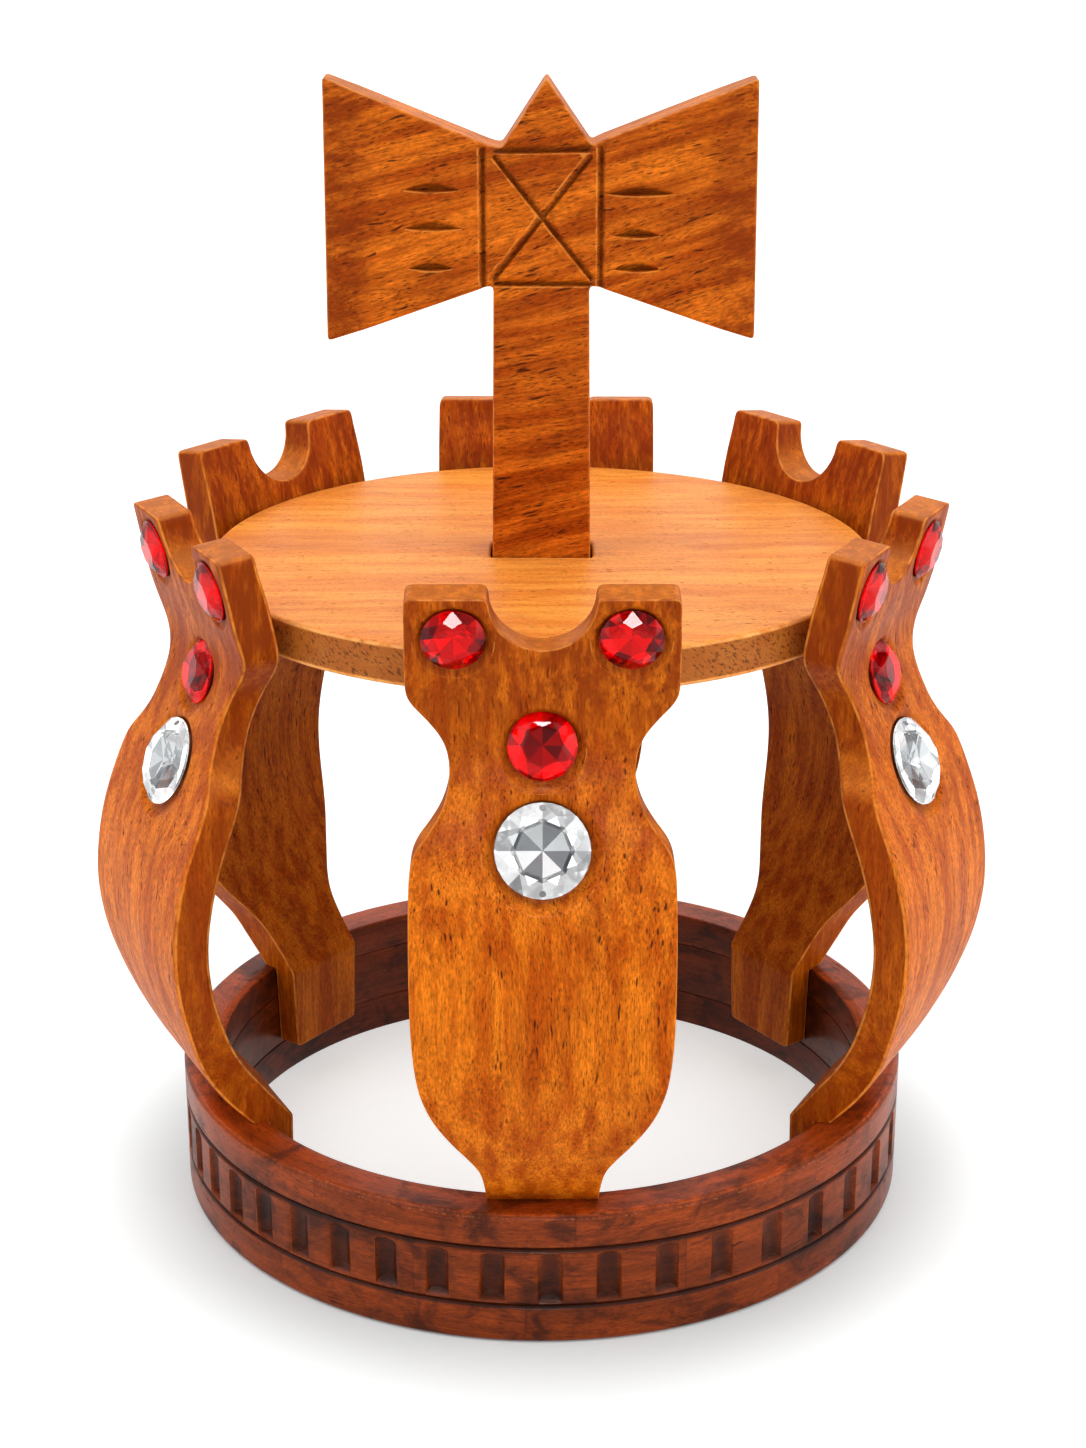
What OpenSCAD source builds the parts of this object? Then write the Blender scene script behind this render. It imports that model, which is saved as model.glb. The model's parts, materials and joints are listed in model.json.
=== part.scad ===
// Wooden crown: a headband of three stacked layers, six curved arms set with cut stones,
// a round top board and a two-bladed axe on a post.
// Z is up and the crown faces -Y. The origin is on the table, at the centre of the headband.

/* [Headband] */
// Outer radius of the headband
ring_r = 110; // [109:0.5:112]
// Inner radius of the headband
ring_inner_r = 98; // [97.5:0.5:98.5]
// Height of the lower layer
lower_h = 11.6; // [11:0.1:12.2]
// Height of the fluted middle layer
fluted_h = 17.8; // [17.4:0.1:18.4]
// Height of the upper layer
upper_h = 10.6; // [10:0.1:11.2]
// Bevel along the edges where the layers meet, which makes the grooves
ring_bevel = 0.9; // [0.5:0.1:1.2]

/* [Flutes] */
// Number of gouged flutes round the headband
flute_n = 43; // [36:1:44]
// Radius of the gouge
gouge_r = 3.5; // [3.2:0.1:3.8]
// Length of a flute
flute_l = 15.6; // [15:0.1:16]
// Depth of a flute at the middle of its length
flute_depth = 1.9; // [1.4:0.1:2.4]
// Lean of a flute, which makes it deeper at its foot
flute_lean = 3; // [0:0.5:4]
// Direction of the first flute
flute_start = 271.6; // [260:0.1:280]
// How far the hand spacing drifts from an even division, in degrees
flute_drift = 8; // [0:0.5:8]

/* [Arms] */
// Inner radius of the feet, which bear on the head
foot_inner_r = 88.5; // [87.5:0.5:89]
// Height of the feet above the table
foot_clear = 13; // [10:0.5:16]
// Outer radius of an arm where it lands on the headband
arm_land_r = 101; // [100.5:0.5:102]
// Radius of the notch between the ears
notch_r = 13.6; // [12.6:0.1:14]
// Gap at the glued joints
fit_gap = 0.15; // [0.1:0.05:0.3]

/* [Top board] */
// Radius of the top board
board_r = 95; // [94.5:0.1:95.4]
// Thickness of the top board
board_t = 11.4; // [10:0.2:12]
// Height of the top board's upper face
board_z = 195.6; // [194:0.2:197]

/* [Axe] */
// Thickness of the axe and its post
axe_t = 16; // [14:0.5:18]
// Thickness left at the cutting edges
axe_edge_t = 11; // [9:0.5:13]
// Width of the post at the top board
post_w = 28; // [27:0.5:28.5]
// Width of the post under the head
post_neck_w = 26.6; // [26:0.2:27]
// Depth of the carved lines
carve_depth = 1.1; // [0.8:0.1:1.4]

/* [Stones] */
// Diameter of the ear stones
ear_stone_d = 16.6; // [16:0.1:17]
// Diameter of the middle red stone
mid_stone_d = 18; // [17:0.1:19]
// Diameter of the clear stone
clear_stone_d = 24.8; // [24:0.1:25.5]
// Diameter of a stone's table as a share of its own
table_share = 0.58; // [0.5:0.01:0.64]
// Height of a stone's crown as a share of its diameter
crown_share = 0.15; // [0.12:0.01:0.17]
// Depth of a stone's back as a share of its diameter
back_share = 0.16; // [0.12:0.01:0.18]
// Room round a stone in its recess
recess_room = 0.45; // [0.3:0.05:0.6]

/* [Hidden] */
ring_h = lower_h + fluted_h + upper_h;
board_under = board_z - board_t;
deep = 400;

// Name of each arm and the direction that it faces, as measured on the hand-spaced original
NAME = 0;
TURN = 1;
ARMS = [
    ["front", 270.5],
    ["right_front", 333.5],
    ["right_back", 36],
    ["back", 89.5],
    ["left_back", 144],
    ["left_front", 207],
];

// Side profile of an arm, a row for each height: height, outer radius, inner radius
HEIGHT = 0;
OUTER = 1;
INNER = 2;
ARM_SIDE = [
    [ring_h,  arm_land_r, foot_inner_r],
    [ 50, 109.3,  96.0],
    [ 62, 116.6, 104.4],
    [ 76, 122.5, 111.7],
    [ 92, 126.8, 116.7],
    [108, 127.9, 117.8],
    [127, 124.8, 114.2],
    [146, 117.7, 107.4],
    [163, 110.2, 100.6],
    [180, 104.4,  94.5],
    [197, 107.6,  96.2],
    [215, 111.0, 100.6],
];

// Front outline of an arm, a row for each height: height, half width
HALF = 1;
ARM_FRONT = [
    [foot_clear, 14.2],
    [ring_h, 15.4],
    [ 48, 15.8],
    [ 55, 17.0],
    [ 60, 19.5],
    [ 65, 22.8],
    [ 70, 25.9],
    [ 75, 28.6],
    [ 80, 30.6],
    [ 87, 32.4],
    [ 98, 33.6],
    [112, 34.1],
    [138, 34.2],
    [146, 33.7],
    [150, 32.1],
    [154, 28.9],
    [159, 25.7],
    [164, 24.1],
    [168, 23.7],
    [173, 24.3],
    [177, 26.3],
    [181, 29.6],
    [185, 33.1],
    [188, 34.6],
    [196, 34.8],
    [215, 34.6],
];
// Height of the notch's centre
notch_z = 214.4;
// How much higher the inner edge of an arm's top is than its outer edge
top_rise = 1.2;

// Stones of an arm, a row each: name, distance to the right of its middle line, height, diameter
ASIDE = 1;
UP = 2;
DIA = 3;
STONES = [
    ["ear_left_stone", -22.3, 204, ear_stone_d],
    ["ear_right_stone", 22.3, 204, ear_stone_d],
    ["middle_stone", 0, 174.5, mid_stone_d],
    ["clear_stone", 0, 150, clear_stone_d],
];
CLEAR_ROW = 3;
// Half the thickness of a stone's girdle
girdle = 0.3;
// Radius of the small flat at a stone's back, as a share of the stone's radius
culet_share = 0.18;

// Lower and upper end of the axe's middle block
block_low = 273.2;
block_high = 310.0;
// Corners of the axe's head, from its peak round by the right blade: how far right, how high
AXE_RIGHT = [[1.4, 329.5], [13.8, 311.4], [15.6, 312.6], [58.9, 329.2], [59.4, 257.9], [15.0, block_low]];
AXE_LEFT = [[-14.4, block_low], [-59.8, 257.3], [-59.3, 329.6], [-14.3, 311.6], [-10.9, 310.8]];
// Where the blades start to thin towards their edges
bevel_start = 49;
blade_reach = 61;

// How far the lower carved line sits above the middle block's lower end
rim_lift = 0.5;
// Carved lines on both faces of the axe's head: from x, z to x, z
CARVED = [
    [-16.0, 312, -16.0, 272],
    [ 16.4, 312,  16.4, 272],
    [-13.6, block_high, 14.6, block_high + 0.6],
    [-13.6, block_low + rim_lift, 14.4, block_low + rim_lift],
    [-13.6, block_high - 1, 14.4, block_low + 1],
    [-13.6, block_low + 1, 14.4, block_high - 1],
];

// Carved gashes on both faces of the blades: how far right, how high, length
GASHES = [
    [-30.0, 300.4, 15.4],
    [-29.6, 289.9, 15.8],
    [-30.5, 278.9, 12.4],
    [ 26.9, 299.4, 19.3],
    [ 26.0, 288.0, 13.1],
    [ 26.3, 278.7, 13.0],
];
gash_depth = 1.3;
gash_half_h = 2.1;

BANDS = ["lower_ring", "fluted_ring", "upper_ring"];

// Slope of a table's column at a row, from the rows beside it
function slope(tab, col, i) =
    let (a = max(i - 1, 0), b = min(i + 1, len(tab) - 1))
    (tab[b][col] - tab[a][col]) / (tab[b][HEIGHT] - tab[a][HEIGHT]);

// A cubic between two rows, at the share s of the way from row i to the next
function between(tab, col, i, s) =
    let (h = tab[i + 1][HEIGHT] - tab[i][HEIGHT])
    (2*s*s*s - 3*s*s + 1) * tab[i][col] + (s*s*s - 2*s*s + s) * h * slope(tab, col, i)
    + (3*s*s - 2*s*s*s) * tab[i + 1][col] + (s*s*s - s*s) * h * slope(tab, col, i + 1);

// The row of a table that starts the stretch with the height z
function row_of(tab, z) = max([for (i = [0:len(tab) - 2]) if (tab[i][HEIGHT] <= z) i]);

// A column's smooth value at the height z
function value_at(tab, col, z) =
    let (i = row_of(tab, z))
    between(tab, col, i, (z - tab[i][HEIGHT]) / (tab[i + 1][HEIGHT] - tab[i][HEIGHT]));

// Points [value, height] along a column, with some steps from row to row
function curve(tab, col, steps) = concat(
    [for (i = [0:len(tab) - 2]) for (k = [0:steps - 1])
        let (z = tab[i][HEIGHT] + (tab[i + 1][HEIGHT] - tab[i][HEIGHT]) * k / steps)
        [between(tab, col, i, k / steps), z]],
    [[tab[len(tab) - 1][col], tab[len(tab) - 1][HEIGHT]]]
);

function reverse(list) = [for (i = [len(list) - 1:-1:0]) list[i]];
function ring_points(r, z, n, start) =
    [for (k = [0:n - 1]) [r * cos(start + 360 * k / n), r * sin(start + 360 * k / n), z]];

// Section of a layer of the headband, bevelled at its outer edges and more lightly inside
module layer(low, high, low_bevel, high_bevel) {
    inner = 0.5;
    rotate_extrude($fn = 180)
        polygon([
            [ring_inner_r + inner, low],
            [ring_r - low_bevel, low],
            [ring_r, low + low_bevel],
            [ring_r, high - high_bevel],
            [ring_r - high_bevel, high],
            [ring_inner_r + inner, high],
            [ring_inner_r, high - inner],
            [ring_inner_r, low + inner],
        ]);
}

module lower_ring() {
    color("saddlebrown") layer(0, lower_h, 1, ring_bevel);
}

function flute_turn(i) =
    let (even = 360 * i / flute_n)
    flute_start + even + flute_drift * (1 - cos(even));

module fluted_ring() {
    middle = lower_h + fluted_h / 2;
    color("saddlebrown") difference() {
        layer(lower_h, lower_h + fluted_h, ring_bevel, ring_bevel);
        for (i = [0:flute_n - 1])
            rotate([0, 0, flute_turn(i)])
                translate([ring_r + gouge_r - flute_depth, 0, middle])
                    rotate([0, flute_lean, 0])
                        cylinder(r = gouge_r, h = flute_l, center = true, $fn = 32);
    }
}

module upper_ring() {
    color("saddlebrown") layer(ring_h - upper_h, ring_h, ring_bevel, 1);
}

module top_board() {
    bevel = 0.8;
    slack = 0.6;
    color("burlywood") difference() {
        rotate_extrude($fn = 180)
            polygon([
                [0, board_under],
                [board_r - bevel, board_under],
                [board_r, board_under + bevel],
                [board_r, board_z - bevel],
                [board_r - bevel, board_z],
                [0, board_z],
            ]);
        translate([0, 0, board_z])
            cube([post_w + 2 * slack, axe_t + 2 * slack, 3 * board_t], center = true);
    }
}

// The arm's blank as seen from its side: a bowed board with an upright foot
module arm_side_shape() {
    last = len(ARM_SIDE) - 1;
    polygon(concat(
        [[foot_inner_r, foot_clear], [arm_land_r, foot_clear]],
        curve(ARM_SIDE, OUTER, 4),
        [[ARM_SIDE[last][INNER] + top_rise / 4, ARM_SIDE[last][HEIGHT] + top_rise]],
        reverse(curve(ARM_SIDE, INNER, 4))
    ));
}

// What is cut from a foot so that it hangs inside the headband and lands on its upper face
module headband_room() {
    rotate_extrude($fn = 180)
        translate([ring_inner_r - fit_gap, 0]) square([deep / 10, ring_h + fit_gap]);
}

// The arm's outline as seen from its front
module arm_front_shape() {
    edge = curve(ARM_FRONT, HALF, 3);
    top = ARM_FRONT[len(ARM_FRONT) - 1][HEIGHT];
    difference() {
        polygon(concat(
            edge,
            [[ARM_FRONT[len(ARM_FRONT) - 1][HALF], top + 3], [-ARM_FRONT[len(ARM_FRONT) - 1][HALF], top + 3]],
            [for (p = reverse(edge)) [-p[0], p[1]]]
        ));
        translate([0, notch_z]) circle(r = notch_r, $fn = 48);
    }
}

// Places its child on an arm's outer face, square to the face, at a stone's row
module on_face(stone) {
    rise = slope_at(stone[UP]);
    translate([value_at(ARM_SIDE, OUTER, stone[UP]), stone[ASIDE], stone[UP]])
        rotate([0, 90 + atan(rise), 0])
            children();
}
function slope_at(z) =
    (value_at(ARM_SIDE, OUTER, z + 4) - value_at(ARM_SIDE, OUTER, z - 4)) / 8;

module arm(a) {
    color("peru") rotate([0, 0, a[TURN]]) difference() {
        intersection() {
            rotate([90, 0, 0]) linear_extrude(deep, center = true) arm_side_shape();
            rotate([90, 0, 90]) linear_extrude(deep) arm_front_shape();
        }
        headband_room();
        translate([0, 0, board_under - fit_gap])
            cylinder(r = board_r + fit_gap, h = board_t + 2 * fit_gap, $fn = 180);
        for (s = STONES)
            on_face(s)
                translate([0, 0, -s[DIA] * back_share - girdle - fit_gap])
                    cylinder(d = s[DIA] + 2 * recess_room, h = deep / 20, $fn = 48);
    }
}

// A cut stone, facing +Z, with its girdle round the origin: table, star, kite and girdle facets in
// front, and a faceted back that runs to a small flat
module cut_stone(dia) {
    r = dia / 2;
    rt = r * table_share;
    rs = r * (1 + table_share) * 0.49;
    h = dia * crown_share;
    hs = h * (1 - (rs * cos(22.5) - rt) / (r - rt));
    points = concat(
        ring_points(rt, girdle + h, 8, 0),
        ring_points(rs, girdle + hs, 8, 22.5),
        ring_points(r, girdle, 16, 0),
        ring_points(r, -girdle, 16, 0),
        ring_points(r * culet_share, -girdle - dia * back_share, 8, 0)
    );
    // Where each ring of points starts: table, star, upper girdle, lower girdle, back
    t = 0;
    s = 8;
    g = 16;
    b = 32;
    c = 48;
    faces = concat(
        [[for (k = [7:-1:0]) t + k]],
        [for (k = [0:7]) [t + k, t + (k + 1) % 8, s + k]],
        [for (k = [0:7]) [t + k, s + k, g + 2 * k, s + (k + 7) % 8]],
        [for (k = [0:7]) [s + k, g + 2 * k + 1, g + 2 * k]],
        [for (k = [0:7]) [s + k, g + (2 * k + 2) % 16, g + 2 * k + 1]],
        [for (k = [0:15]) [g + k, g + (k + 1) % 16, b + (k + 1) % 16, b + k]],
        [for (k = [0:7]) [b + 2 * k, b + 2 * k + 1, c + k]],
        [for (k = [0:7]) [b + 2 * k + 1, b + (2 * k + 2) % 16, c + (k + 1) % 8]],
        [for (k = [0:7]) [b + 2 * k + 1, c + (k + 1) % 8, c + k]],
        [[for (k = [0:7]) c + k]]
    );
    polyhedron(points, faces, convexity = 4);
}

module stone(a, i) {
    color(i == CLEAR_ROW ? "gainsboro" : "crimson")
        rotate([0, 0, a[TURN]]) on_face(STONES[i]) cut_stone(STONES[i][DIA]);
}

// A V-shaped bar along one carved line, centred on the plane y = 0
module carved_line(l) {
    run = [l[2] - l[0], l[3] - l[1]];
    side = carve_depth * sqrt(2);
    translate([l[0], 0, l[1]])
        rotate([0, -atan2(run[1], run[0]), 0])
            rotate([45, 0, 0])
                translate([0, -side / 2, -side / 2])
                    cube([norm(run), side, side]);
}

// The sharp rim of a wheel that cuts one gash into the plane y = 0 from the -Y side
module gash(g) {
    wheel_r = g[2] * g[2] / (8 * gash_depth);
    slope = gash_depth / gash_half_h;
    rim_h = 2 * gash_half_h;
    translate([g[0], gash_depth - wheel_r, g[1]]) {
        cylinder(r1 = wheel_r, r2 = wheel_r - rim_h * slope, h = rim_h, $fn = 96);
        mirror([0, 0, 1]) cylinder(r1 = wheel_r, r2 = wheel_r - rim_h * slope, h = rim_h, $fn = 96);
    }
}

module double_axe() {
    post_right = [[post_neck_w / 2, block_low], [post_w / 2, board_z], [post_w / 2, board_under]];
    post_left = [for (p = reverse(post_right)) [-p[0], p[1]]];
    blade = [[bevel_start, axe_t / 2], [blade_reach, axe_edge_t / 2]];
    color("peru") difference() {
        intersection() {
            rotate([90, 0, 0])
                linear_extrude(axe_t * 2, center = true)
                    polygon(concat(AXE_RIGHT, post_right, post_left, AXE_LEFT));
            linear_extrude(deep)
                polygon([
                    [-blade[1][0], -blade[1][1]], [-blade[0][0], -blade[0][1]],
                    [blade[0][0], -blade[0][1]], [blade[1][0], -blade[1][1]],
                    [blade[1][0], blade[1][1]], [blade[0][0], blade[0][1]],
                    [-blade[0][0], blade[0][1]], [-blade[1][0], blade[1][1]],
                ]);
        }
        for (face = [0, 1])
            mirror([0, face, 0])
                translate([0, -axe_t / 2, 0]) {
                    for (l = CARVED) carved_line(l);
                    for (g = GASHES) gash(g);
                }
    }
}

lower_ring();
fluted_ring();
upper_ring();
top_board();
double_axe();
for (a = ARMS)
    arm(a);
for (a = ARMS)
    for (i = [0:len(STONES) - 1])
        stone(a, i);
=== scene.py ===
# %% [markdown]
# # A wooden crown, finished in Blender
#
# The crown is joinery: a headband of three stacked rings, six bowed arms that hang inside it and
# stand on it, a round top board that the arms grip, an axe with two blades on a post, and glued
# acrylic stones with a foil back. The imported model gives the real sizes and the place of every
# piece. This lesson gives each piece its worn arrises, its carving and its finish.
#
# The first step loads that model.

# %% Load the imported model
import json
import math
import bpy
import numpy as np
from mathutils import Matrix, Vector
from mathutils.geometry import delaunay_2d_cdt

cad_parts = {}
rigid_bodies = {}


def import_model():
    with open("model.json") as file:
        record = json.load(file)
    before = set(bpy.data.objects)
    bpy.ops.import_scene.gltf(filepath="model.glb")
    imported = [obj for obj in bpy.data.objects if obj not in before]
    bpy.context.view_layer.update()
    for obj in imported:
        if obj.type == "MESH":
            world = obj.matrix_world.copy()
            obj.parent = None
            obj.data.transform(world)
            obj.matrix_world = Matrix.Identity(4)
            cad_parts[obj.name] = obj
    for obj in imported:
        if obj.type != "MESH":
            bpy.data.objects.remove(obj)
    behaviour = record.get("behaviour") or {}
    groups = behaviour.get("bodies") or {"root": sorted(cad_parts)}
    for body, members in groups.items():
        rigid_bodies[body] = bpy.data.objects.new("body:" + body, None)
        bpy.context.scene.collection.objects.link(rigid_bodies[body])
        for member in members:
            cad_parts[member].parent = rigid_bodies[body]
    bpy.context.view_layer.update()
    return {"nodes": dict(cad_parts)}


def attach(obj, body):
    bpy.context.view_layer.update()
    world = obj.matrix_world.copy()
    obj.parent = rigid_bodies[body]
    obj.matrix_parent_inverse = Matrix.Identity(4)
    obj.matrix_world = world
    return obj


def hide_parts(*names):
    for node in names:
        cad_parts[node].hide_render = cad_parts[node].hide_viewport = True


for unused in list(bpy.data.objects):
    bpy.data.objects.remove(unused)
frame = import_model()
MM = 0.001
print("pieces in the packed model:", len(frame["nodes"]))

# %% [markdown]
# ## Node graphs as arithmetic
#
# Wood needs dozens of Math nodes, and a graph made by hand is hard to read. So one small class
# wraps a socket and overloads the operators: `1 - mask * 0.5` adds the nodes by itself. A second
# class makes every other node from its type, its settings and its inputs. The same two classes
# build the materials and the Geometry Nodes trees.

# %% Wrap sockets so that they can be used in sums
def operator(operation, swapped=False):
    """An operator as one Math node. It is swapped where a number stands before the socket."""
    def method(link, other):
        a, b = (other, link) if swapped else (link, other)
        return link.graph.math(operation, a, b)

    return method


class Link:
    """An output socket that adds Math nodes when it is used in a sum."""

    def __init__(self, graph, socket):
        self.graph = graph
        self.socket = socket

    __add__ = operator("ADD")
    __radd__ = operator("ADD", swapped=True)
    __sub__ = operator("SUBTRACT")
    __rsub__ = operator("SUBTRACT", swapped=True)
    __mul__ = operator("MULTIPLY")
    __rmul__ = operator("MULTIPLY", swapped=True)
    __truediv__ = operator("DIVIDE")
    __gt__ = operator("GREATER_THAN")
    __lt__ = operator("LESS_THAN")


class Graph:
    """A node tree and the few ways in which this script adds to it."""

    def __init__(self, tree):
        self.tree = tree

    def pick(self, sockets, key):
        """A socket by its number, its identifier or its name."""
        if isinstance(key, int):
            return sockets[key]
        for socket in sockets:
            if socket.identifier == key:
                return socket
        return next(s for s in sockets if s.name == key and s.enabled)

    def node(self, kind, settings=None, inputs=None, output=0):
        """Any node: its settings first, then its inputs, as values or links."""
        made = self.tree.nodes.new(kind)
        for name, value in (settings or {}).items():
            setattr(made, name, value)
        self.feed(made, inputs or {})
        return Link(self, self.pick(made.outputs, output))

    def feed(self, made, values):
        """Sets or links some inputs of a node that is already there."""
        for key, value in values.items():
            socket = self.pick(made.inputs, key)
            if isinstance(value, Link):
                self.tree.links.new(value.socket, socket)
            else:
                socket.default_value = value

    def math(self, operation, a, b=0.0, clamp=False):
        """One Math node."""
        return self.node("ShaderNodeMath", {"operation": operation, "use_clamp": clamp}, {0: a, 1: b})

    def clamp(self, a):
        """A value kept from 0 to 1."""
        return self.math("ADD", a, 0.0, clamp=True)

    def step(self, a, low, high, to_low=0.0, to_high=1.0):
        """A smooth step of a from low to high."""
        return self.node("ShaderNodeMapRange", {"interpolation_type": "SMOOTHSTEP"}, {
            "Value": a, "From Min": low, "From Max": high, "To Min": to_low, "To Max": to_high})

    def split(self, vector, axis):
        """One axis of a vector."""
        return self.node("ShaderNodeSeparateXYZ", None, {0: vector}, "XYZ".index(axis))

    def join(self, x, y, z):
        """A vector from its three axes."""
        return self.node("ShaderNodeCombineXYZ", None, {0: x, 1: y, 2: z})

    def vector(self, operation, a, b=(0.0, 0.0, 0.0), output=0):
        """One Vector Math node."""
        return self.node("ShaderNodeVectorMath", {"operation": operation}, {0: a, 1: b}, output)

    def mix(self, factor, a, b):
        """A mix of two colours, each a link or three values."""
        first, second = (c if isinstance(c, Link) else (*c, 1.0) for c in (a, b))
        return self.node("ShaderNodeMix", {"data_type": "RGBA"},
                         {"Factor_Float": factor, "A_Color": first, "B_Color": second}, "Result_Color")

    def noise(self, vector, scale, detail=2.0, roughness=0.5, distortion=0.0):
        """Smooth noise about 0.5, with features about 1 / scale long."""
        return self.node("ShaderNodeTexNoise", None, {
            "Vector": vector, "Scale": scale, "Detail": detail,
            "Roughness": roughness, "Distortion": distortion})


# %% [markdown]
# ## A board from a flat sheet
#
# The arms, the axe and the top board were all sawn from planks, so each is a flat outline with a
# front, a back and a sawn edge. Boolean cuts would give these shapes too, but their edges would be
# hard to round. Instead a flat sheet of triangles is made from the outline, with more points where
# something is carved, and one function lifts each point to the front and one to the back. A point's
# distance to the outline says how far it drops, and that is the worn arris.

# %% Outlines and distances
def resample(loop, spacing):
    """Points at an even spacing along a closed loop."""
    closed = np.vstack([loop, loop[:1]])
    run = np.concatenate([[0], np.cumsum(np.linalg.norm(np.diff(closed, axis=0), axis=1))])
    at = np.linspace(0, run[-1], round(run[-1] / spacing), endpoint=False)
    return np.column_stack([np.interp(at, run, closed[:, k]) for k in (0, 1)])


def soften(loop, passes):
    """Wears the corners of a closed loop round."""
    for _ in range(passes):
        loop = (np.roll(loop, 1, 0) + 2 * loop + np.roll(loop, -1, 0)) / 4
    return loop


def in_parts(test, points, size=1500):
    """Runs a test on some points at a time, to keep its tables small."""
    return np.concatenate([test(points[k:k + size]) for k in range(0, len(points), size)])


def distance_to(points, loops):
    """How far each point is from the nearest of the closed loops."""
    start = np.vstack(loops)
    along = np.vstack([np.roll(loop, -1, 0) - loop for loop in loops])

    def test(p):
        away = p[:, None, :] - start[None]
        share = np.clip((away * along).sum(2) / (along * along).sum(1), 0, 1)
        return np.linalg.norm(away - share[..., None] * along, axis=2).min(1)

    return in_parts(test, points)


def inside(points, loops):
    """Whether each point is inside the outline and outside its holes."""
    start = np.vstack(loops)
    end = np.vstack([np.roll(loop, -1, 0) for loop in loops])
    rise = end[:, 1] - start[:, 1]
    rise[rise == 0] = 1e-12

    def test(p):
        spans = (start[:, 1] > p[:, 1:]) != (end[:, 1] > p[:, 1:])
        cross = start[:, 0] + (p[:, 1:] - start[:, 1]) * (end[:, 0] - start[:, 0]) / rise
        return (spans & (p[:, :1] < cross)).sum(1) % 2 == 1

    return in_parts(test, points)


# %% [markdown]
# A worn arris is a small quarter round, so the sheet has rows of points that follow the outline
# closely, and a coarse staggered grid further in. A bevel modifier could round an edge too, but it
# can't follow a carved face, and it would cross the recesses that lie near an edge.

# %% Points for a sheet
# Rows of points along an edge, as shares of its arris's radius
ARRIS_STEPS = (0.08, 0.29, 0.62, 1.0)
# A row leaves out each point that is nearer to another edge than this share of the row's depth
ROW_CLEAR = 0.8
# The rows of the grid lie this much closer than its columns
GRID_ROW = 0.87
# The grid keeps off the arris and off the other points by these shares of its spacing
OFF_ARRIS = 0.4
OFF_POINTS = 0.45


def grid_points(loops, spacing):
    """A staggered grid over the loops' box."""
    low = loops[0].min(0)
    high = loops[0].max(0)
    rows = np.arange(low[1], high[1], spacing * GRID_ROW)
    columns = np.arange(low[0], high[0], spacing)
    return np.array([(x + spacing / 2 * (k % 2), y) for k, y in enumerate(rows) for x in columns])


def inset_points(loop, depth):
    """The loop's points moved inwards."""
    ahead = np.roll(loop, -1, 0) - np.roll(loop, 1, 0)
    ahead /= np.linalg.norm(ahead, axis=1)[:, None]
    return loop + depth * np.column_stack([-ahead[:, 1], ahead[:, 0]])


def sheet_points(loops, spacing, arris, lines, extra):
    """Rows along the edges, then the extra points, then the grid wherever it has room."""
    near = []
    for loop in loops:
        for share in ARRIS_STEPS:
            row = inset_points(loop, arris * share)
            near.append(row[distance_to(row, loops) > ROW_CLEAR * arris * share])
    taken = np.vstack([*near, *extra, *lines])
    grid = grid_points(loops, spacing)
    grid = grid[distance_to(grid, loops) > arris + spacing * OFF_ARRIS]
    gap = in_parts(lambda p: np.linalg.norm(p[:, None] - taken[None], axis=2).min(1), grid)
    points = np.vstack([*near, *extra, grid[gap > spacing * OFF_POINTS]])
    return points[inside(points, loops)]


# %% [markdown]
# A Delaunay triangulation joins the points. It is told to keep the outline as edges, and a few
# straight lines across it. It also fills the holes and the bays of the outline, so the triangles
# there are dropped.

# %% The sheet of triangles
SAME_POINT = 1e-5


def make_sheet(loops, spacing, arris, lines=(), extra=()):
    """Triangles between the loops: the first runs anticlockwise and holes run clockwise.
    Lines are kept as edges, and the extra points are used wherever they lie inside."""
    verts = []
    edges = []
    for loop in loops:
        first = len(verts)
        verts += [Vector(p) for p in loop]
        edges += [(first + k, first + (k + 1) % len(loop)) for k in range(len(loop))]
    verts += [Vector(p) for p in sheet_points(loops, spacing, arris, lines, extra)]
    for line in lines:
        first = len(verts)
        verts += [Vector(p) for p in line]
        edges += [(first + k, first + k + 1) for k in range(len(line) - 1)]
    made = delaunay_2d_cdt(verts, edges, [], 0, SAME_POINT)
    flat = np.array([p[:] for p in made[0]])
    tris = np.array(made[2])
    a, b, c = (flat[tris[:, k]] for k in range(3))
    flipped = np.cross(b - a, c - a) < 0
    tris[flipped] = tris[flipped][:, ::-1]
    tris = tris[inside(flat[tris].mean(1), loops)]
    used, tris = np.unique(tris, return_inverse=True)
    flat = flat[used]
    return {"flat": flat, "tris": tris.reshape(-1, 3), "edge": distance_to(flat, loops)}


def arris_drop(edge, radius):
    """How far a face falls near its edge, so that the edge is a quarter round."""
    left = np.clip(radius - edge, 0, radius)
    return radius - np.sqrt(radius ** 2 - left ** 2)


# %% [markdown]
# A plank has two faces and a sawn edge. The sheet is used twice, once as the front and once turned
# over as the back, and rows of quads between them make the edge. A Solidify modifier would give
# both faces the same shape, while here each one is lifted by its own function.

# %% From a sheet to a closed board
# A board's sawn edge has rows of points at these depths from either face, and one in the middle.
# The first row is still a little worn.
EDGE_ROWS = (0.6, 1.6)
EDGE_WEAR = 0.4
# Faces that meet at more than this angle keep a crease between them
BOARD_CREASE = math.radians(38)


def rim_edges(tris):
    """The edges that belong to one triangle only."""
    edges = np.vstack([tris[:, [0, 1]], tris[:, [1, 2]], tris[:, [2, 0]]])
    known = {(a, b) for a, b in edges.tolist()}
    return [(a, b) for a, b in edges.tolist() if (b, a) not in known]


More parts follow.
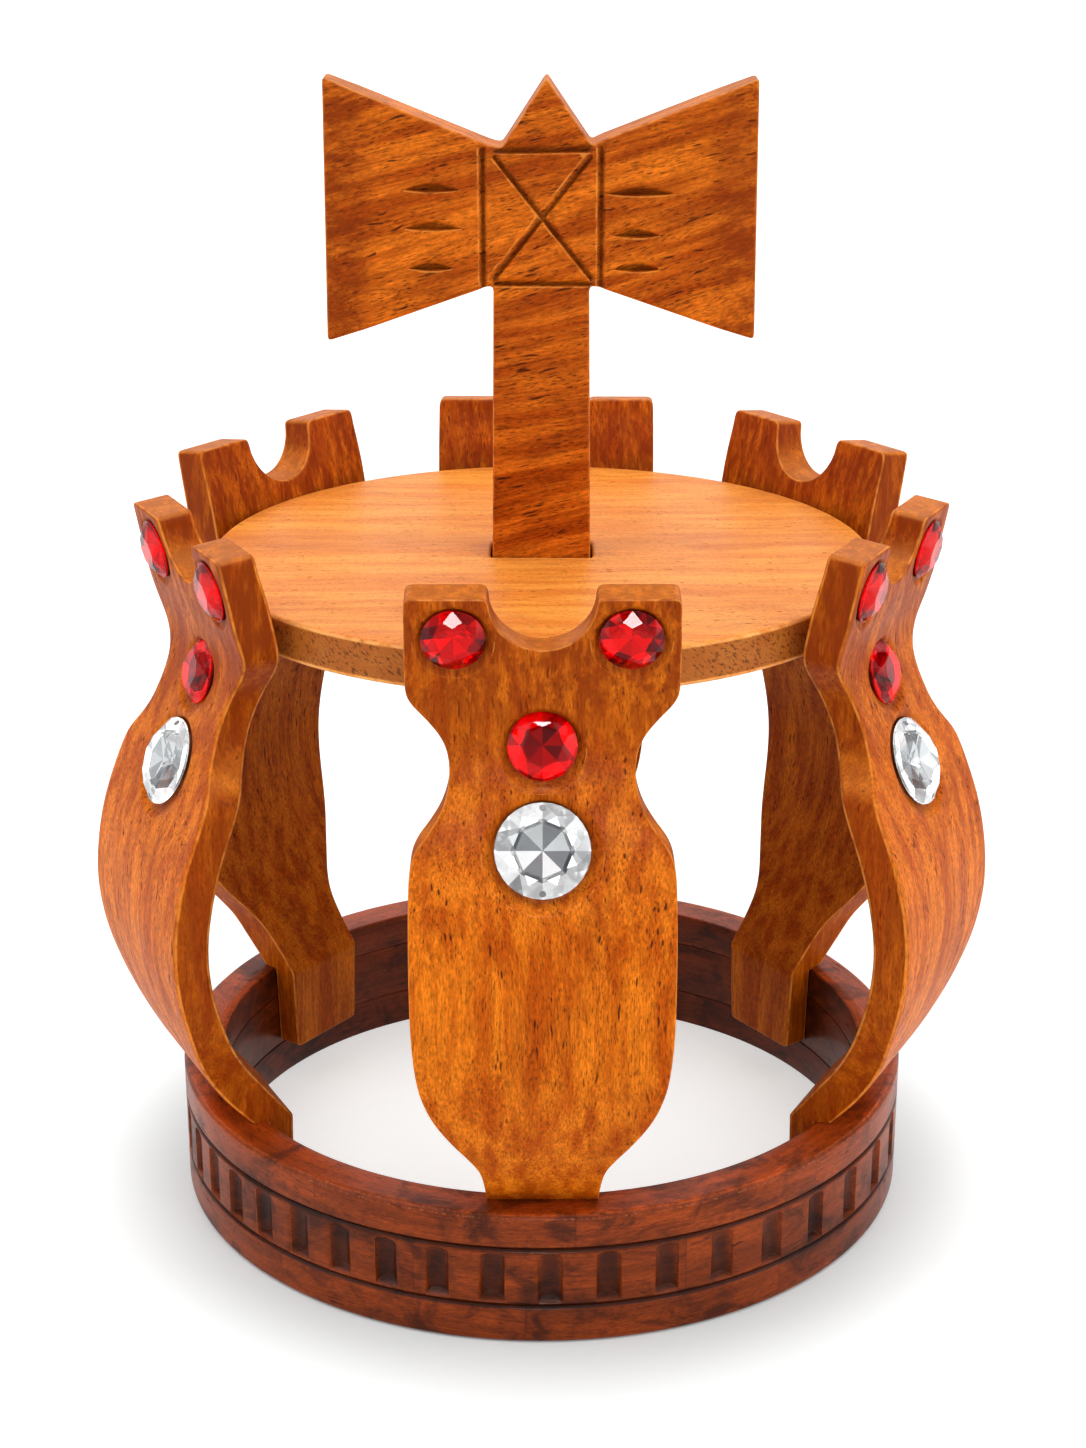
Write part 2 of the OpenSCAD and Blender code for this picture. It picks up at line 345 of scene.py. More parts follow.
def make_board(name, sheet, front, back, hollow, arris, thickness, painted_lit_lips=0.0, both_carved=False):
    """A closed mesh from the lifted front and back of a sheet, with marks for the finish:
    arris is 1 on an edge, hollow is how far a point is carved in, side is 1 on the sawn edge.
    Lit lips are further places on the face that are painted pale like a worn edge, a painted highlight."""
    tris = sheet["tris"]
    count = len(front)
    rim = rim_edges(tris)
    ring = np.unique(rim)
    depths = np.array([*EDGE_ROWS, thickness / 2, *(thickness - d for d in reversed(EDGE_ROWS))])
    rows = [front[ring] * (1 - share) + back[ring] * share for share in depths / thickness]
    on_rows = 2 * count + np.arange(len(rows) * len(ring)).reshape(len(rows), len(ring))
    faces = tris.tolist() + (tris[:, ::-1] + count).tolist()
    levels = [ring, *on_rows, ring + count]
    a, b = np.searchsorted(ring, rim).T
    for upper, lower in zip(levels, levels[1:]):
        faces += np.column_stack([upper[b], upper[a], lower[a], lower[b]]).tolist()
    near = np.clip(1 - sheet["edge"] / (2 * arris), 0, 1)
    row_wear = np.repeat([EDGE_WEAR, 0.0, 0.0, 0.0, EDGE_WEAR], len(ring))
    plain = np.zeros(len(row_wear))
    marks = {
        # The lit lips are painted pale like a worn arris, a painted highlight
        "arris": [np.maximum(near, painted_lit_lips), np.maximum(near, painted_lit_lips * both_carved), row_wear],
        "hollow": [hollow, hollow * both_carved, plain],
        "side": [np.zeros(2 * count), np.ones_like(plain)],
        "inner": [np.zeros(count), np.full(count, 1.0 - both_carved), plain],
    }
    marks = {key: np.concatenate(values) for key, values in marks.items()}
    return make_object(name, np.vstack([front, back, *rows]) * MM, faces, marks)


def make_object(name, verts, faces, marks=None):
    """A mesh object at the origin, with a float attribute for each mark."""
    mesh = bpy.data.meshes.new(name)
    mesh.from_pydata([tuple(v) for v in verts], [], [tuple(f) for f in faces])
    mesh.validate()
    for key, values in (marks or {}).items():
        mesh.attributes.new(key, "FLOAT", "POINT").data.foreach_set("value", np.asarray(values, float))
    mesh.shade_smooth()
    mesh.set_sharp_from_angle(angle=BOARD_CREASE)
    made = bpy.data.objects.new(name, mesh)
    bpy.context.collection.objects.link(made)
    return made


# %% [markdown]
# ## The arms
#
# Each arm is a bowed plank: its side profile swells out and comes back in to the top board, and its
# front outline runs from a narrow foot to a broad belly, a waist and two ears round a notch. Two
# tables give these curves, and a cubic through their rows makes them smooth. The arm's own frame is
# `r` away from the crown's axis, `t` to the right as seen from outside, and the height `z`.

# %% The arm in numbers, in millimetres
ARMS = {
    "front": 270.5,
    "right_front": 333.5,
    "right_back": 36.0,
    "back": 89.5,
    "left_back": 144.0,
    "left_front": 207.0,
}
RING_H = 40.0
RING_R = 110.0
RING_INNER_R = 98.0
FOOT_Z = 13.0
FIT_GAP = 0.15
NOTCH_R = 13.6
NOTCH_Z = 214.4
ARM_TOP = 215.0
TOP_RISE = 1.2
BOARD_R = 95.0
BOARD_T = 11.4
BOARD_Z = 195.6
ARM_ARRIS = 0.7
ARM_T = 10.0

# Height, outer radius, inner radius
ARM_SIDE = np.array([
    (RING_H, 101.0, 88.5),
    (50, 109.3, 96.0),
    (62, 116.6, 104.4),
    (76, 122.5, 111.7),
    (92, 126.8, 116.7),
    (108, 127.9, 117.8),
    (127, 124.8, 114.2),
    (146, 117.7, 107.4),
    (163, 110.2, 100.6),
    (180, 104.4, 94.5),
    (197, 107.6, 96.2),
    (ARM_TOP, 111.0, 100.6),
])
# Height, half width
ARM_FRONT = np.array([
    (FOOT_Z, 14.2), (RING_H, 15.4), (48, 15.8), (55, 17.0), (60, 19.5), (65, 22.8), (70, 25.9),
    (75, 28.6), (80, 30.6), (87, 32.4), (98, 33.6), (112, 34.1), (138, 34.2), (146, 33.7),
    (150, 32.1), (154, 28.9), (159, 25.7), (164, 24.1), (168, 23.7), (173, 24.3), (177, 26.3),
    (181, 29.6), (185, 33.1), (188, 34.6), (196, 34.8), (ARM_TOP, 34.6),
])
# Name, distance to the right, height, diameter, width of the scooped lip round the stone
STONES = [
    ("ear_left_stone", -22.3, 204.0, 16.6, 1.5),
    ("ear_right_stone", 22.3, 204.0, 16.6, 1.5),
    ("middle_stone", 0.0, 174.5, 18.0, 1.7),
    ("clear_stone", 0.0, 150.0, 24.8, 2.7),
]
BACK_SHARE = 0.16
# A recess: how much deeper and wider its well is than the stone, the share of the radius on which
# the well's wall falls, where the scooped lip starts, how far it hangs down as a share of its own
# width, and how wide the painted highlight on its lower lip is
WELL_SPARE = 1.2
WELL_PLAY = 0.35
WELL_WALL = 0.22
LIP_START = 0.5
SCOOP_DROP = 0.45
LIT_LIP_W = 0.7
print("rows of the arm's profile:", len(ARM_SIDE), "and of its outline:", len(ARM_FRONT))

# %% [markdown]
# Straight lines between the rows would show as facets in polished wood. A cubic takes its slope at
# each row from the rows beside it, so it passes through all of them without a kink.

# %% Curves through the rows
def cubic(table, column, at):
    """A smooth curve through a column of a table, at some heights."""
    z = table[:, 0]
    v = table[:, column]
    slope = np.gradient(v, z, edge_order=1)
    slope[1:-1] = (v[2:] - v[:-2]) / (z[2:] - z[:-2])
    i = np.clip(np.searchsorted(z, at, side="right") - 1, 0, len(z) - 2)
    h = z[i + 1] - z[i]
    s = (at - z[i]) / h
    return ((2 * s**3 - 3 * s**2 + 1) * v[i] + (s**3 - 2 * s**2 + s) * h * slope[i]
            + (3 * s**2 - 2 * s**3) * v[i + 1] + (s**3 - s**2) * h * slope[i + 1])


def face_slope(height):
    """Slope of the arm's outer face where a stone sits."""
    return (cubic(ARM_SIDE, 1, height + 4) - cubic(ARM_SIDE, 1, height - 4)) / 8


# %% [markdown]
# The outline was cut with a narrow saw and its corners were sanded round. Its half widths are
# measured, the left side mirrors the right, and the notch is part of a circle.

# %% The arm's outline
STEPS_TO_A_ROW = 6
NOTCH_POINTS = 40

heights = [ARM_FRONT[:-1, 0] + np.diff(ARM_FRONT[:, 0]) * k / STEPS_TO_A_ROW for k in range(STEPS_TO_A_ROW)]
heights = np.append(np.sort(np.concatenate(heights)), ARM_TOP)
right_edge = np.column_stack([cubic(ARM_FRONT, 1, heights), heights])
notch_start = math.asin((ARM_TOP - NOTCH_Z) / NOTCH_R)
notch_turn = np.linspace(notch_start, -math.pi - notch_start, NOTCH_POINTS)
notch = np.column_stack([NOTCH_R * np.cos(notch_turn), NOTCH_Z + NOTCH_R * np.sin(notch_turn)])
outline = np.vstack([right_edge, notch, right_edge[::-1] * (-1, 1)])
ARM_LOOP = soften(resample(outline, spacing=0.85), passes=4)
print("arm outline:", len(ARM_LOOP), "points, widest", round(np.ptp(ARM_LOOP[:, 0]), 1), "mm")

# %% [markdown]
# The sheet needs most points where the face bends most. So circles of points run down into each
# recess and over its lip, and lines across the arm mark the ledge and the foot of the pocket.

# %% The arm's sheet
POINTS_TO_A_MM = 7
LIP_STEPS = 6
LINE_POINTS = 20
LEDGE = RING_H + FIT_GAP
pocket_low = BOARD_Z - BOARD_T - FIT_GAP
pocket_high = BOARD_Z + FIT_GAP


def circle(centre, radius, count=None):
    """Points on a circle, a fixed number to each millimetre of its radius if no count is given."""
    turn = np.linspace(0, 2 * math.pi, count or round(radius * POINTS_TO_A_MM), endpoint=False)
    return np.column_stack([centre[0] + radius * np.cos(turn), centre[1] + radius * np.sin(turn)])


def stone_rings():
    """Circles of points in and round each recess, where the face curves most."""
    rings = []
    for _, aside, up, dia, lip in STONES:
        r = dia / 2
        # Two on the floor of the well and three on its wall
        rings += [circle((aside, up), radius) for radius in (r * 0.45, r * 0.75, r - 0.9, r - 0.3, r + 0.2)]
        for step in range(1, LIP_STEPS + 2):
            rim = circle((aside, up - lip * SCOOP_DROP), r + LIP_START + lip * step / LIP_STEPS)
            rings.append(rim[np.hypot(rim[:, 0] - aside, rim[:, 1] - up) > r + 0.4])
    return rings


def level_line(z, inset):
    """A line across the arm at one height, clear of its arrises."""
    half = float(cubic(ARM_FRONT, 1, np.array([z]))[0]) - inset
    return np.column_stack([np.linspace(-half, half, LINE_POINTS), np.full(LINE_POINTS, z)])


level_lines = [level_line(z, inset=1.6) for z in (LEDGE - 0.06, LEDGE, pocket_low - 0.1, pocket_low)]
arm_sheet = make_sheet([ARM_LOOP], spacing=2.1, arris=ARM_ARRIS, lines=level_lines, extra=stone_rings())
print("arm sheet:", len(arm_sheet["flat"]), "points,", len(arm_sheet["tris"]), "triangles")

# %% [markdown]
# A recess is a scoop that the carver made a little larger than its stone: a deep middle that the
# stone hides, and a soft lip that catches the light below the stone and its shadow above. The foot
# hangs inside the headband, so its outer face follows the ring's bore below the ledge. Where the top
# board enters the arm, the inner face has a shallow pocket of the board's own radius.

# %% Lift the sheet to an arm
# Points this close to a height count as above or below it
TOUCH = 0.01
# The top end is a little domed, over this height
TOP_ROUND = 3.0


def scoops(flat):
    """Depth of the stone recesses at each point of the arm's face, and a painted highlight on the
    lower part of their outer lips.
    """
    depth = np.zeros(len(flat))
    painted_lit_lips = np.zeros(len(flat))
    for _, aside, up, dia, lip in STONES:
        r = dia / 2
        tilt = math.hypot(1, face_slope(up))
        away = np.hypot(flat[:, 0] - aside, (flat[:, 1] - up) * tilt)
        well = np.clip((r + WELL_PLAY - away) / (r * WELL_WALL), 0, 1) * (dia * BACK_SHARE + WELL_SPARE)
        left = r + LIP_START + lip - np.hypot(flat[:, 0] - aside, (flat[:, 1] - up + lip * SCOOP_DROP) * tilt)
        share = np.clip(left / lip, 0, 1)
        scoop = share * (0.6 + 0.4 * share) * (0.6 + 0.3 * lip)
        depth = np.maximum(depth, np.maximum(scoop, well))
        # Painted highlight: only the part of the lip below the stone is painted pale
        painted_lit_lips = np.maximum(painted_lit_lips, np.clip(1 - np.abs(left) / LIT_LIP_W, 0, 1) * (flat[:, 1] < up))
    return depth, painted_lit_lips


def turned(r, t, z, degrees):
    """From an arm's own frame to the crown's."""
    c = math.cos(math.radians(degrees))
    s = math.sin(math.radians(degrees))
    return np.column_stack([r * c - t * s, r * s + t * c, z])


def lift_arm(sheet, degrees):
    """Front and back of the arm that faces a direction, and the depth and painted lit lips of its scoops."""
    t = sheet["flat"][:, 0]
    z = sheet["flat"][:, 1]
    drop = arris_drop(sheet["edge"], ARM_ARRIS)
    carved, painted_lit_lips = scoops(sheet["flat"])
    above = np.maximum(z, RING_H)
    outer = cubic(ARM_SIDE, 1, above) - drop
    inner = cubic(ARM_SIDE, 2, above) + drop
    bore = np.sqrt((RING_INNER_R - FIT_GAP) ** 2 - t ** 2)
    pocket = np.sqrt((BOARD_R + FIT_GAP) ** 2 - t ** 2)
    outer = np.where(z < LEDGE - TOUCH, np.minimum(outer, bore - drop), outer)
    in_pocket = (z > pocket_low - TOUCH) & (z < pocket_high)
    inner = np.where(in_pocket, np.maximum(inner, pocket), inner)
    rise = TOP_RISE * np.clip((z - ARM_TOP + TOP_ROUND) / TOP_ROUND, 0, 1)
    return turned(outer - carved, t, z, degrees), turned(inner, t, z + rise, degrees), carved, painted_lit_lips


arms = {}
for name, degrees in ARMS.items():
    front, back, carved, painted_lit_lips = lift_arm(arm_sheet, degrees)
    arms[name] = make_board(f"carved_arm_{name}", arm_sheet, front, back, carved, ARM_ARRIS, ARM_T, painted_lit_lips)
print("arms:", len(arms), "with", len(arms["front"].data.polygons), "faces each")

# %% [markdown]
# ## The top board
#
# The board is a disc of pale honey wood with a mortise for the axe's post. The mortise is cut a
# little large, so a dark gap shows round the post. The same sheet method makes it: a round outline,
# and the mortise as a hole that runs the other way round.

# %% Make the top board
POST_W = 28.0
AXE_T = 16.0
MORTISE_SLACK = 0.6
DISC_ARRIS = 0.9
DISC_POINTS = 420

half_w = POST_W / 2 + MORTISE_SLACK
half_t = AXE_T / 2 + MORTISE_SLACK
mortise = np.array([(-half_w, -half_t), (-half_w, half_t), (half_w, half_t), (half_w, -half_t)])
disc_loops = [circle((0, 0), BOARD_R, DISC_POINTS), soften(resample(mortise, spacing=0.8), passes=2)]
disc_sheet = make_sheet(disc_loops, spacing=5.0, arris=DISC_ARRIS)
disc_flat = disc_sheet["flat"]
disc_drop = arris_drop(disc_sheet["edge"], DISC_ARRIS)
disc_top = np.column_stack([disc_flat, BOARD_Z - disc_drop])
disc_under = np.column_stack([disc_flat, BOARD_Z - BOARD_T + disc_drop])
uncarved = np.zeros(len(disc_flat))
top_board = make_board("turned_top_board", disc_sheet, disc_top, disc_under, uncarved, DISC_ARRIS, BOARD_T)
print("top board:", len(top_board.data.polygons), "faces")

# %% [markdown]
# ## The axe
#
# The head, its peak and its post are one board, 16 mm thick, with a crossed square between two
# blades that thin towards their edges. The carver cut each line with two strokes: a long slope on
# the upper side that stays dark, and a short steep one below that catches the light. So a line
# here has a deepest run and two widths. Points lie so close along all three that the triangles
# follow them.

# %% The axe in numbers, in millimetres
BLOCK_LOW = 273.2
BLOCK_HIGH = 310.0
POST_NECK_W = 26.6
BLADE_FLAT = 49.0
BLADE_REACH = 61.0
BLADE_EDGE_T = 11.0
AXE_ARRIS = 1.0
AXE_RIGHT = [(1.4, 329.5), (13.8, 311.4), (15.6, 312.6), (58.9, 329.2), (59.4, 257.9), (15.0, BLOCK_LOW)]
AXE_LEFT = [(-14.4, BLOCK_LOW), (-59.8, 257.3), (-59.3, 329.6), (-14.3, 311.6), (-10.9, 310.8)]
# A line: its depth, the length over which a stroke's end rises, and the share of the depth there
CUT_DEPTH = 1.15
CUT_END = 1.2
CUT_END_SHARE = 0.25
# How wide the painted highlight on a cut's lower lip is
CUT_LIT_LIP_W = 0.4

# From x, z to x, z, then the width of the upper slope and of the lower one
CARVED = [
    ((-16.0, 311.4), (-16.0, 272.4), 1.3, 1.3),
    ((16.4, 311.6), (16.4, 272.4), 1.3, 1.3),
    ((-13.4, BLOCK_HIGH - 0.3), (14.0, BLOCK_HIGH + 0.2), 2.4, 0.6),
    ((-13.4, BLOCK_LOW + 0.5), (14.2, BLOCK_LOW + 0.5), 1.7, 0.6),
    ((-13.4, BLOCK_HIGH - 1.2), (14.2, BLOCK_LOW + 1.2), 1.9, 0.6),
    ((14.2, BLOCK_HIGH - 1.2), (-13.4, BLOCK_LOW + 1.2), 0.6, 1.9),
]
# Distance to the right, height, length
GASHES = [
    (-30.0, 300.4, 15.4),
    (-29.6, 289.9, 15.8),
    (-30.5, 278.9, 12.4),
    (26.9, 299.4, 19.3),
    (26.0, 288.0, 13.1),
    (26.3, 278.7, 13.0),
]
# A gash: its widths above and below its deepest run, how far that run lies below its middle, and
# its depth
GASH_UP = 2.6
GASH_DOWN = 0.8
GASH_BED = 0.8
GASH_DEPTH = 1.5
# Points lie this far apart along a line, and there are so many along a gash, up to this share of it
CUT_SPACING = 0.7
GASH_POINTS = 24
GASH_END = 0.97
print("carved lines:", len(CARVED), "and gashes:", len(GASHES), "on each face of the axe")

# %% [markdown]
# A carved line is deepest along one run, and rises to a width above it, to a width below it and to
# its two ends. A gash does the same inside a lens, so its widths shrink to nothing at its ends.

# %% How deep the carving is
def along_line(flat, start, end):
    """Distance along a carved line and to its left, and its length."""
    start = np.array(start)
    run = np.array(end) - start
    length = np.linalg.norm(run)
    run = run / length
    away = flat - start
    return away @ run, away @ np.array([-run[1], run[0]]), length


def two_slopes(q, upper, lower):
    """1 on the deepest run, and falling to 0 over a width above it and one below it."""
    return np.clip(np.where(q > 0, 1 - q / upper, 1 + q / lower), 0, 1)


def carving(flat):
    """Depth of the lines and gashes at each point of the axe's face, and a painted highlight on their
    lower lips.
    """
    depth = np.zeros(len(flat))
    painted_lit_lips = np.zeros(len(flat))
    for start, end, upper, lower in CARVED:
        a, q, length = along_line(flat, start, end)
        ends = np.clip(np.minimum(a, length - a) / CUT_END + CUT_END_SHARE, 0, 1)
        depth = np.maximum(depth, CUT_DEPTH * np.minimum(two_slopes(q, upper, lower), ends))
        # Painted highlight: the lower lip of each line is painted pale
        painted_lit_lips = np.maximum(painted_lit_lips, np.clip(1 - np.abs(q + lower) / CUT_LIT_LIP_W, 0, 1) * (ends > 0.3))
    for x, z, length in GASHES:
        lens = np.clip(1 - (2 * (flat[:, 0] - x) / length) ** 2, 0, 1)
        q = flat[:, 1] - z + GASH_BED
        wall = two_slopes(q, GASH_UP * lens + 1e-6, GASH_DOWN * lens + 1e-6)
        depth = np.maximum(depth, GASH_DEPTH * lens ** 0.6 * wall)
        # Painted highlight: the lower lip of each gash is painted pale
        lip = np.clip(1 - np.abs(q + GASH_DOWN * lens) / CUT_LIT_LIP_W, 0, 1)
        painted_lit_lips = np.maximum(painted_lit_lips, lip * (lens > 0.05))
    return depth, painted_lit_lips


# %% [markdown]
# A triangle is flat, so a groove shows only where points lie along its deepest run and its rims.
# They are worked out here, and the axe's sheet is built round them.

# %% The points that the carving needs
def carved_points():
    """Points along the deepest run and both rims of every line and gash."""
    runs = []
    for start, end, upper, lower in CARVED:
        start = np.array(start)
        run = np.array(end) - start
        side = np.array([-run[1], run[0]]) / np.linalg.norm(run)
        share = np.linspace(0, 1, round(np.linalg.norm(run) / CUT_SPACING))[:, None]
        runs += [start + run * share + side * w for w in (upper, upper / 2, 0, -lower)]
    u = np.linspace(-GASH_END, GASH_END, GASH_POINTS)
    lens = 1 - u ** 2
    for x, z, length in GASHES:
        runs += [np.column_stack([x + u * length / 2, z - GASH_BED + w * lens])
                 for w in (GASH_UP, GASH_UP / 2, 0, -GASH_DOWN)]
    return runs


print("points along the carving:", sum(len(run) for run in carved_points()))

# %% [markdown]
# Each cut is a depth by the distance to a line, and the deepest one counts where lines cross. So all
# the cuts go into one lift, which is used for the back as for the front.

# %% Make the axe
# The line on which a blade begins to thin
BEND_HEIGHTS = (263, 323.5)
BEND_POINTS = 70

post = [(POST_NECK_W / 2, BLOCK_LOW), (POST_W / 2, BOARD_Z), (POST_W / 2, BOARD_Z - BOARD_T)]
axe_corners = np.array(AXE_LEFT[::-1] + [(-x, z) for x, z in post] + post[::-1] + AXE_RIGHT[::-1])
AXE_LOOP = soften(resample(axe_corners, spacing=0.7), passes=3)
blade_line = np.column_stack([np.full(BEND_POINTS, BLADE_FLAT), np.linspace(*BEND_HEIGHTS, BEND_POINTS)])
blade_lines = [blade_line * (-1, 1), blade_line]
axe_sheet = make_sheet([AXE_LOOP], spacing=1.5, arris=AXE_ARRIS, lines=blade_lines, extra=carved_points())
axe_flat = axe_sheet["flat"]
cut, painted_lit_lips = carving(axe_flat)
half_thick = np.interp(np.abs(axe_flat[:, 0]), [BLADE_FLAT, BLADE_REACH], [AXE_T / 2, BLADE_EDGE_T / 2])
face = half_thick - arris_drop(axe_sheet["edge"], AXE_ARRIS) - cut
axe_front = np.column_stack([axe_flat[:, 0], -face, axe_flat[:, 1]])
axe_back = np.column_stack([axe_flat[:, 0], face, axe_flat[:, 1]])
axe = make_board("carved_double_axe", axe_sheet, axe_front, axe_back, cut, AXE_ARRIS, AXE_T,
                 painted_lit_lips, both_carved=True)
print("axe:", len(axe.data.polygons), "faces, deepest cut", round(cut.max(), 2), "mm")

# %% [markdown]
# ## The headband
#
# The headband is three rings glued in a stack. Each ring is one section carried round a circle, so
# Geometry Nodes make it: a circle for the path, the section as a curve of its own, and Curve to Mesh
# between them. The edges where the rings meet are bevelled, and two bevels make one groove.
#
# The middle ring has 43 flutes cut with a gouge. They could be cut with 43 cylinders, but the lips
# would be hard to round. Here each point of the outer wall is moved instead. A flute is a gouge's
# round section that gets deeper towards its foot and stops there in a short chisel cut. The carver
# divided the ring by eye, so the spacing drifts, and a fixed seed varies each flute a little.

# %% The rings in numbers, in millimetres
LOWER_H = 11.6
FLUTED_H = 17.8
GROOVE_BEVEL = 0.9
RIM_BEVEL = 1.0
INSIDE_BEVEL = 0.5
# The flat faces end this far from a bevel, and have this many points
FLAT_END = 1.5
FLAT_POINTS = 4
print("ring heights:", LOWER_H, FLUTED_H, round(RING_H - LOWER_H - FLUTED_H, 1), "mm")

# %% [markdown]
# A section runs from the inner foot outwards, up the wall and back in at the top. A plain bevel would
# catch the light in hard lines, so each outer one has a soft lip at both ends.

# %% Sections of the rings
def inside_corner(z, up):
    """The rounded inner edge of a ring, from its flat face to its bore."""
    turn = np.radians(np.linspace(0, 90, 4))
    left = INSIDE_BEVEL * (1 - np.sin(turn))
    return np.column_stack([RING_INNER_R + left, z + up * INSIDE_BEVEL * (1 - np.cos(turn))])


def corner(z, size, up):
    """The bevel of an outer edge, with a soft lip at both ends: from the flat face to the wall."""
    lip = size * 0.3
    shares = (size + lip, size + lip * 0.2, size * 0.8, size * 0.22, lip * 0.15, 0)
    return np.array([(RING_R - a, z + up * b) for a, b in zip(shares, reversed(shares))])


def ring_section(low, high, low_bevel, high_bevel, rows):
    """The section of a ring, anticlockwise from its inner foot: distance from the axis, height."""
    start = RING_INNER_R + INSIDE_BEVEL
    flat = [(r, low) for r in np.linspace(start, RING_R - low_bevel - FLAT_END, FLAT_POINTS)]
    top = [(r, high) for r in np.linspace(RING_R - high_bevel - FLAT_END, start, FLAT_POINTS)]
    return np.vstack([
        inside_corner(low, 1)[:0:-1], flat,
        corner(low, low_bevel, 1), [(RING_R, z) for z in rows],
        corner(high, high_bevel, -1)[::-1], top,
        inside_corner(high, -1)[1:],
    ])


def section_curve(name, points):
    """A closed curve of straight stretches, drawn in its own XY plane about the path."""
    data = bpy.data.curves.new(name, "CURVE")
    data.dimensions = "3D"
    spline = data.splines.new("POLY")
    spline.points.add(len(points) - 1)
    for point, (r, z) in zip(spline.points, points):
        point.co = ((r - RING_R) * MM, -z * MM, 0, 1)
    spline.use_cyclic_u = True
    made = bpy.data.objects.new(name, data)
    bpy.context.collection.objects.link(made)
    return made


# %% [markdown]
# Both trees of this lesson take named inputs and end in the same way, so small helpers begin a tree,
# read an object into it, store a mark for the finish and end it. The last one runs a tree and keeps
# the plain mesh, because a modifier's result isn't a mesh that can ride on the model.

# %% Begin, end and run a tree
def new_tree(name, inputs):
    """A Geometry Nodes tree with named inputs: its graph, and each input as a link."""
    tree = bpy.data.node_groups.new(name, "GeometryNodeTree")
    tree.is_modifier = True
    for key, kind in inputs.items():
        tree.interface.new_socket(key, in_out="INPUT", socket_type="NodeSocket" + kind)
    tree.interface.new_socket("Geometry", in_out="OUTPUT", socket_type="NodeSocketGeometry")
    g = Graph(tree)
    entry = tree.nodes.new("NodeGroupInput")
    return g, {socket.name: Link(g, socket) for socket in entry.outputs if socket.name}


def object_shape(g, link):
    """The geometry of an object that is one of the tree's inputs."""
    return g.node("GeometryNodeObjectInfo", {"transform_space": "ORIGINAL"}, {"Object": link}, "Geometry")


def store(g, mesh, domain, name, value):
    """The mesh with one more number on each of its points or faces."""
    return g.node("GeometryNodeStoreNamedAttribute", {"data_type": "FLOAT", "domain": domain},
                  {"Geometry": mesh, "Name": name, "Value": value}, "Geometry")


def end_tree(g, mesh, *materials):
    """Ends the tree with the materials, each with the faces that it is for."""
    for material, selection in materials:
        mesh = g.node("GeometryNodeSetMaterial", None,
                      {"Geometry": mesh, "Material": material, "Selection": selection}, "Geometry")
    g.tree.links.new(mesh.socket, g.tree.nodes.new("NodeGroupOutput").inputs[0])
    return g.tree


def from_nodes(name, tree, values):
    """Runs a tree on an empty mesh and returns its result as a plain mesh object."""
    made = bpy.data.objects.new(name, bpy.data.meshes.new(name))
    bpy.context.collection.objects.link(made)
    modifier = made.modifiers.new("nodes", "NODES")
    modifier.node_group = tree
    known = {item.name: item.identifier for item in tree.interface.items_tree if item.in_out == "INPUT"}
    for key, value in values.items():
        modifier[known[key]] = value
    seen = bpy.context.evaluated_depsgraph_get()
    mesh = bpy.data.meshes.new_from_object(made.evaluated_get(seen), depsgraph=seen)
    made.modifiers.remove(modifier)
    made.data = mesh
    mesh.name = name
    # Set Material may leave an empty slot before its own
    for slot in reversed(range(len(mesh.materials))):
        if mesh.materials[slot] is None:
            mesh.materials.pop(index=slot)
    return made


# %% [markdown]
# A flute's columns are moved round the ring before they are cut in, so that a third of them lie on
# its lip, the steepest part. The cut is round across and at its head, as a gouge leaves it, and ends
# at its foot in a chisel's flat slope.

# %% The shape of the flutes
FLUTE_COUNT = 43
FLUTE_COLUMNS = 28
# In shares of the pitch from a flute's middle: the columns of its lip, and where they are moved to
LIP_COLUMNS = (0.2, 0.38)
LIP_PLACES = (0.1625, 0.225)
# How much flutes differ: shares of their depth and width, and how far they sit aside and reach up
DEPTH_VARIES = 0.15
WIDTH_VARIES = 0.06
ASIDE_VARIES = 0.1 * MM
HEAD_VARIES = 0.3 * MM
# The chisel cut's depth for its height, and how wide a rubbed rim is as a share of the ellipse
FOOT_SLOPE = 1.5
RIM_SHARE = 0.2
FLUTE_SEEDS = (11, 5)
print("flutes:", FLUTE_COUNT, "with", FLUTE_COLUMNS, "columns of points each")


def crowded(g, offset):
    """Where a column goes, for its even place in the pitch."""
    first, last = LIP_COLUMNS
    start, end = LIP_PLACES
    reach = g.math("ABSOLUTE", offset)
    before = g.math("MINIMUM", reach, first) * (start / first)
    on_lip = g.clamp((reach - first) / (last - first)) * (end - start)
    beyond = g.math("MAXIMUM", reach - last, 0.0) * ((0.5 - end) / (0.5 - last))
    return (before + on_lip + beyond) * g.math("SIGN", offset)


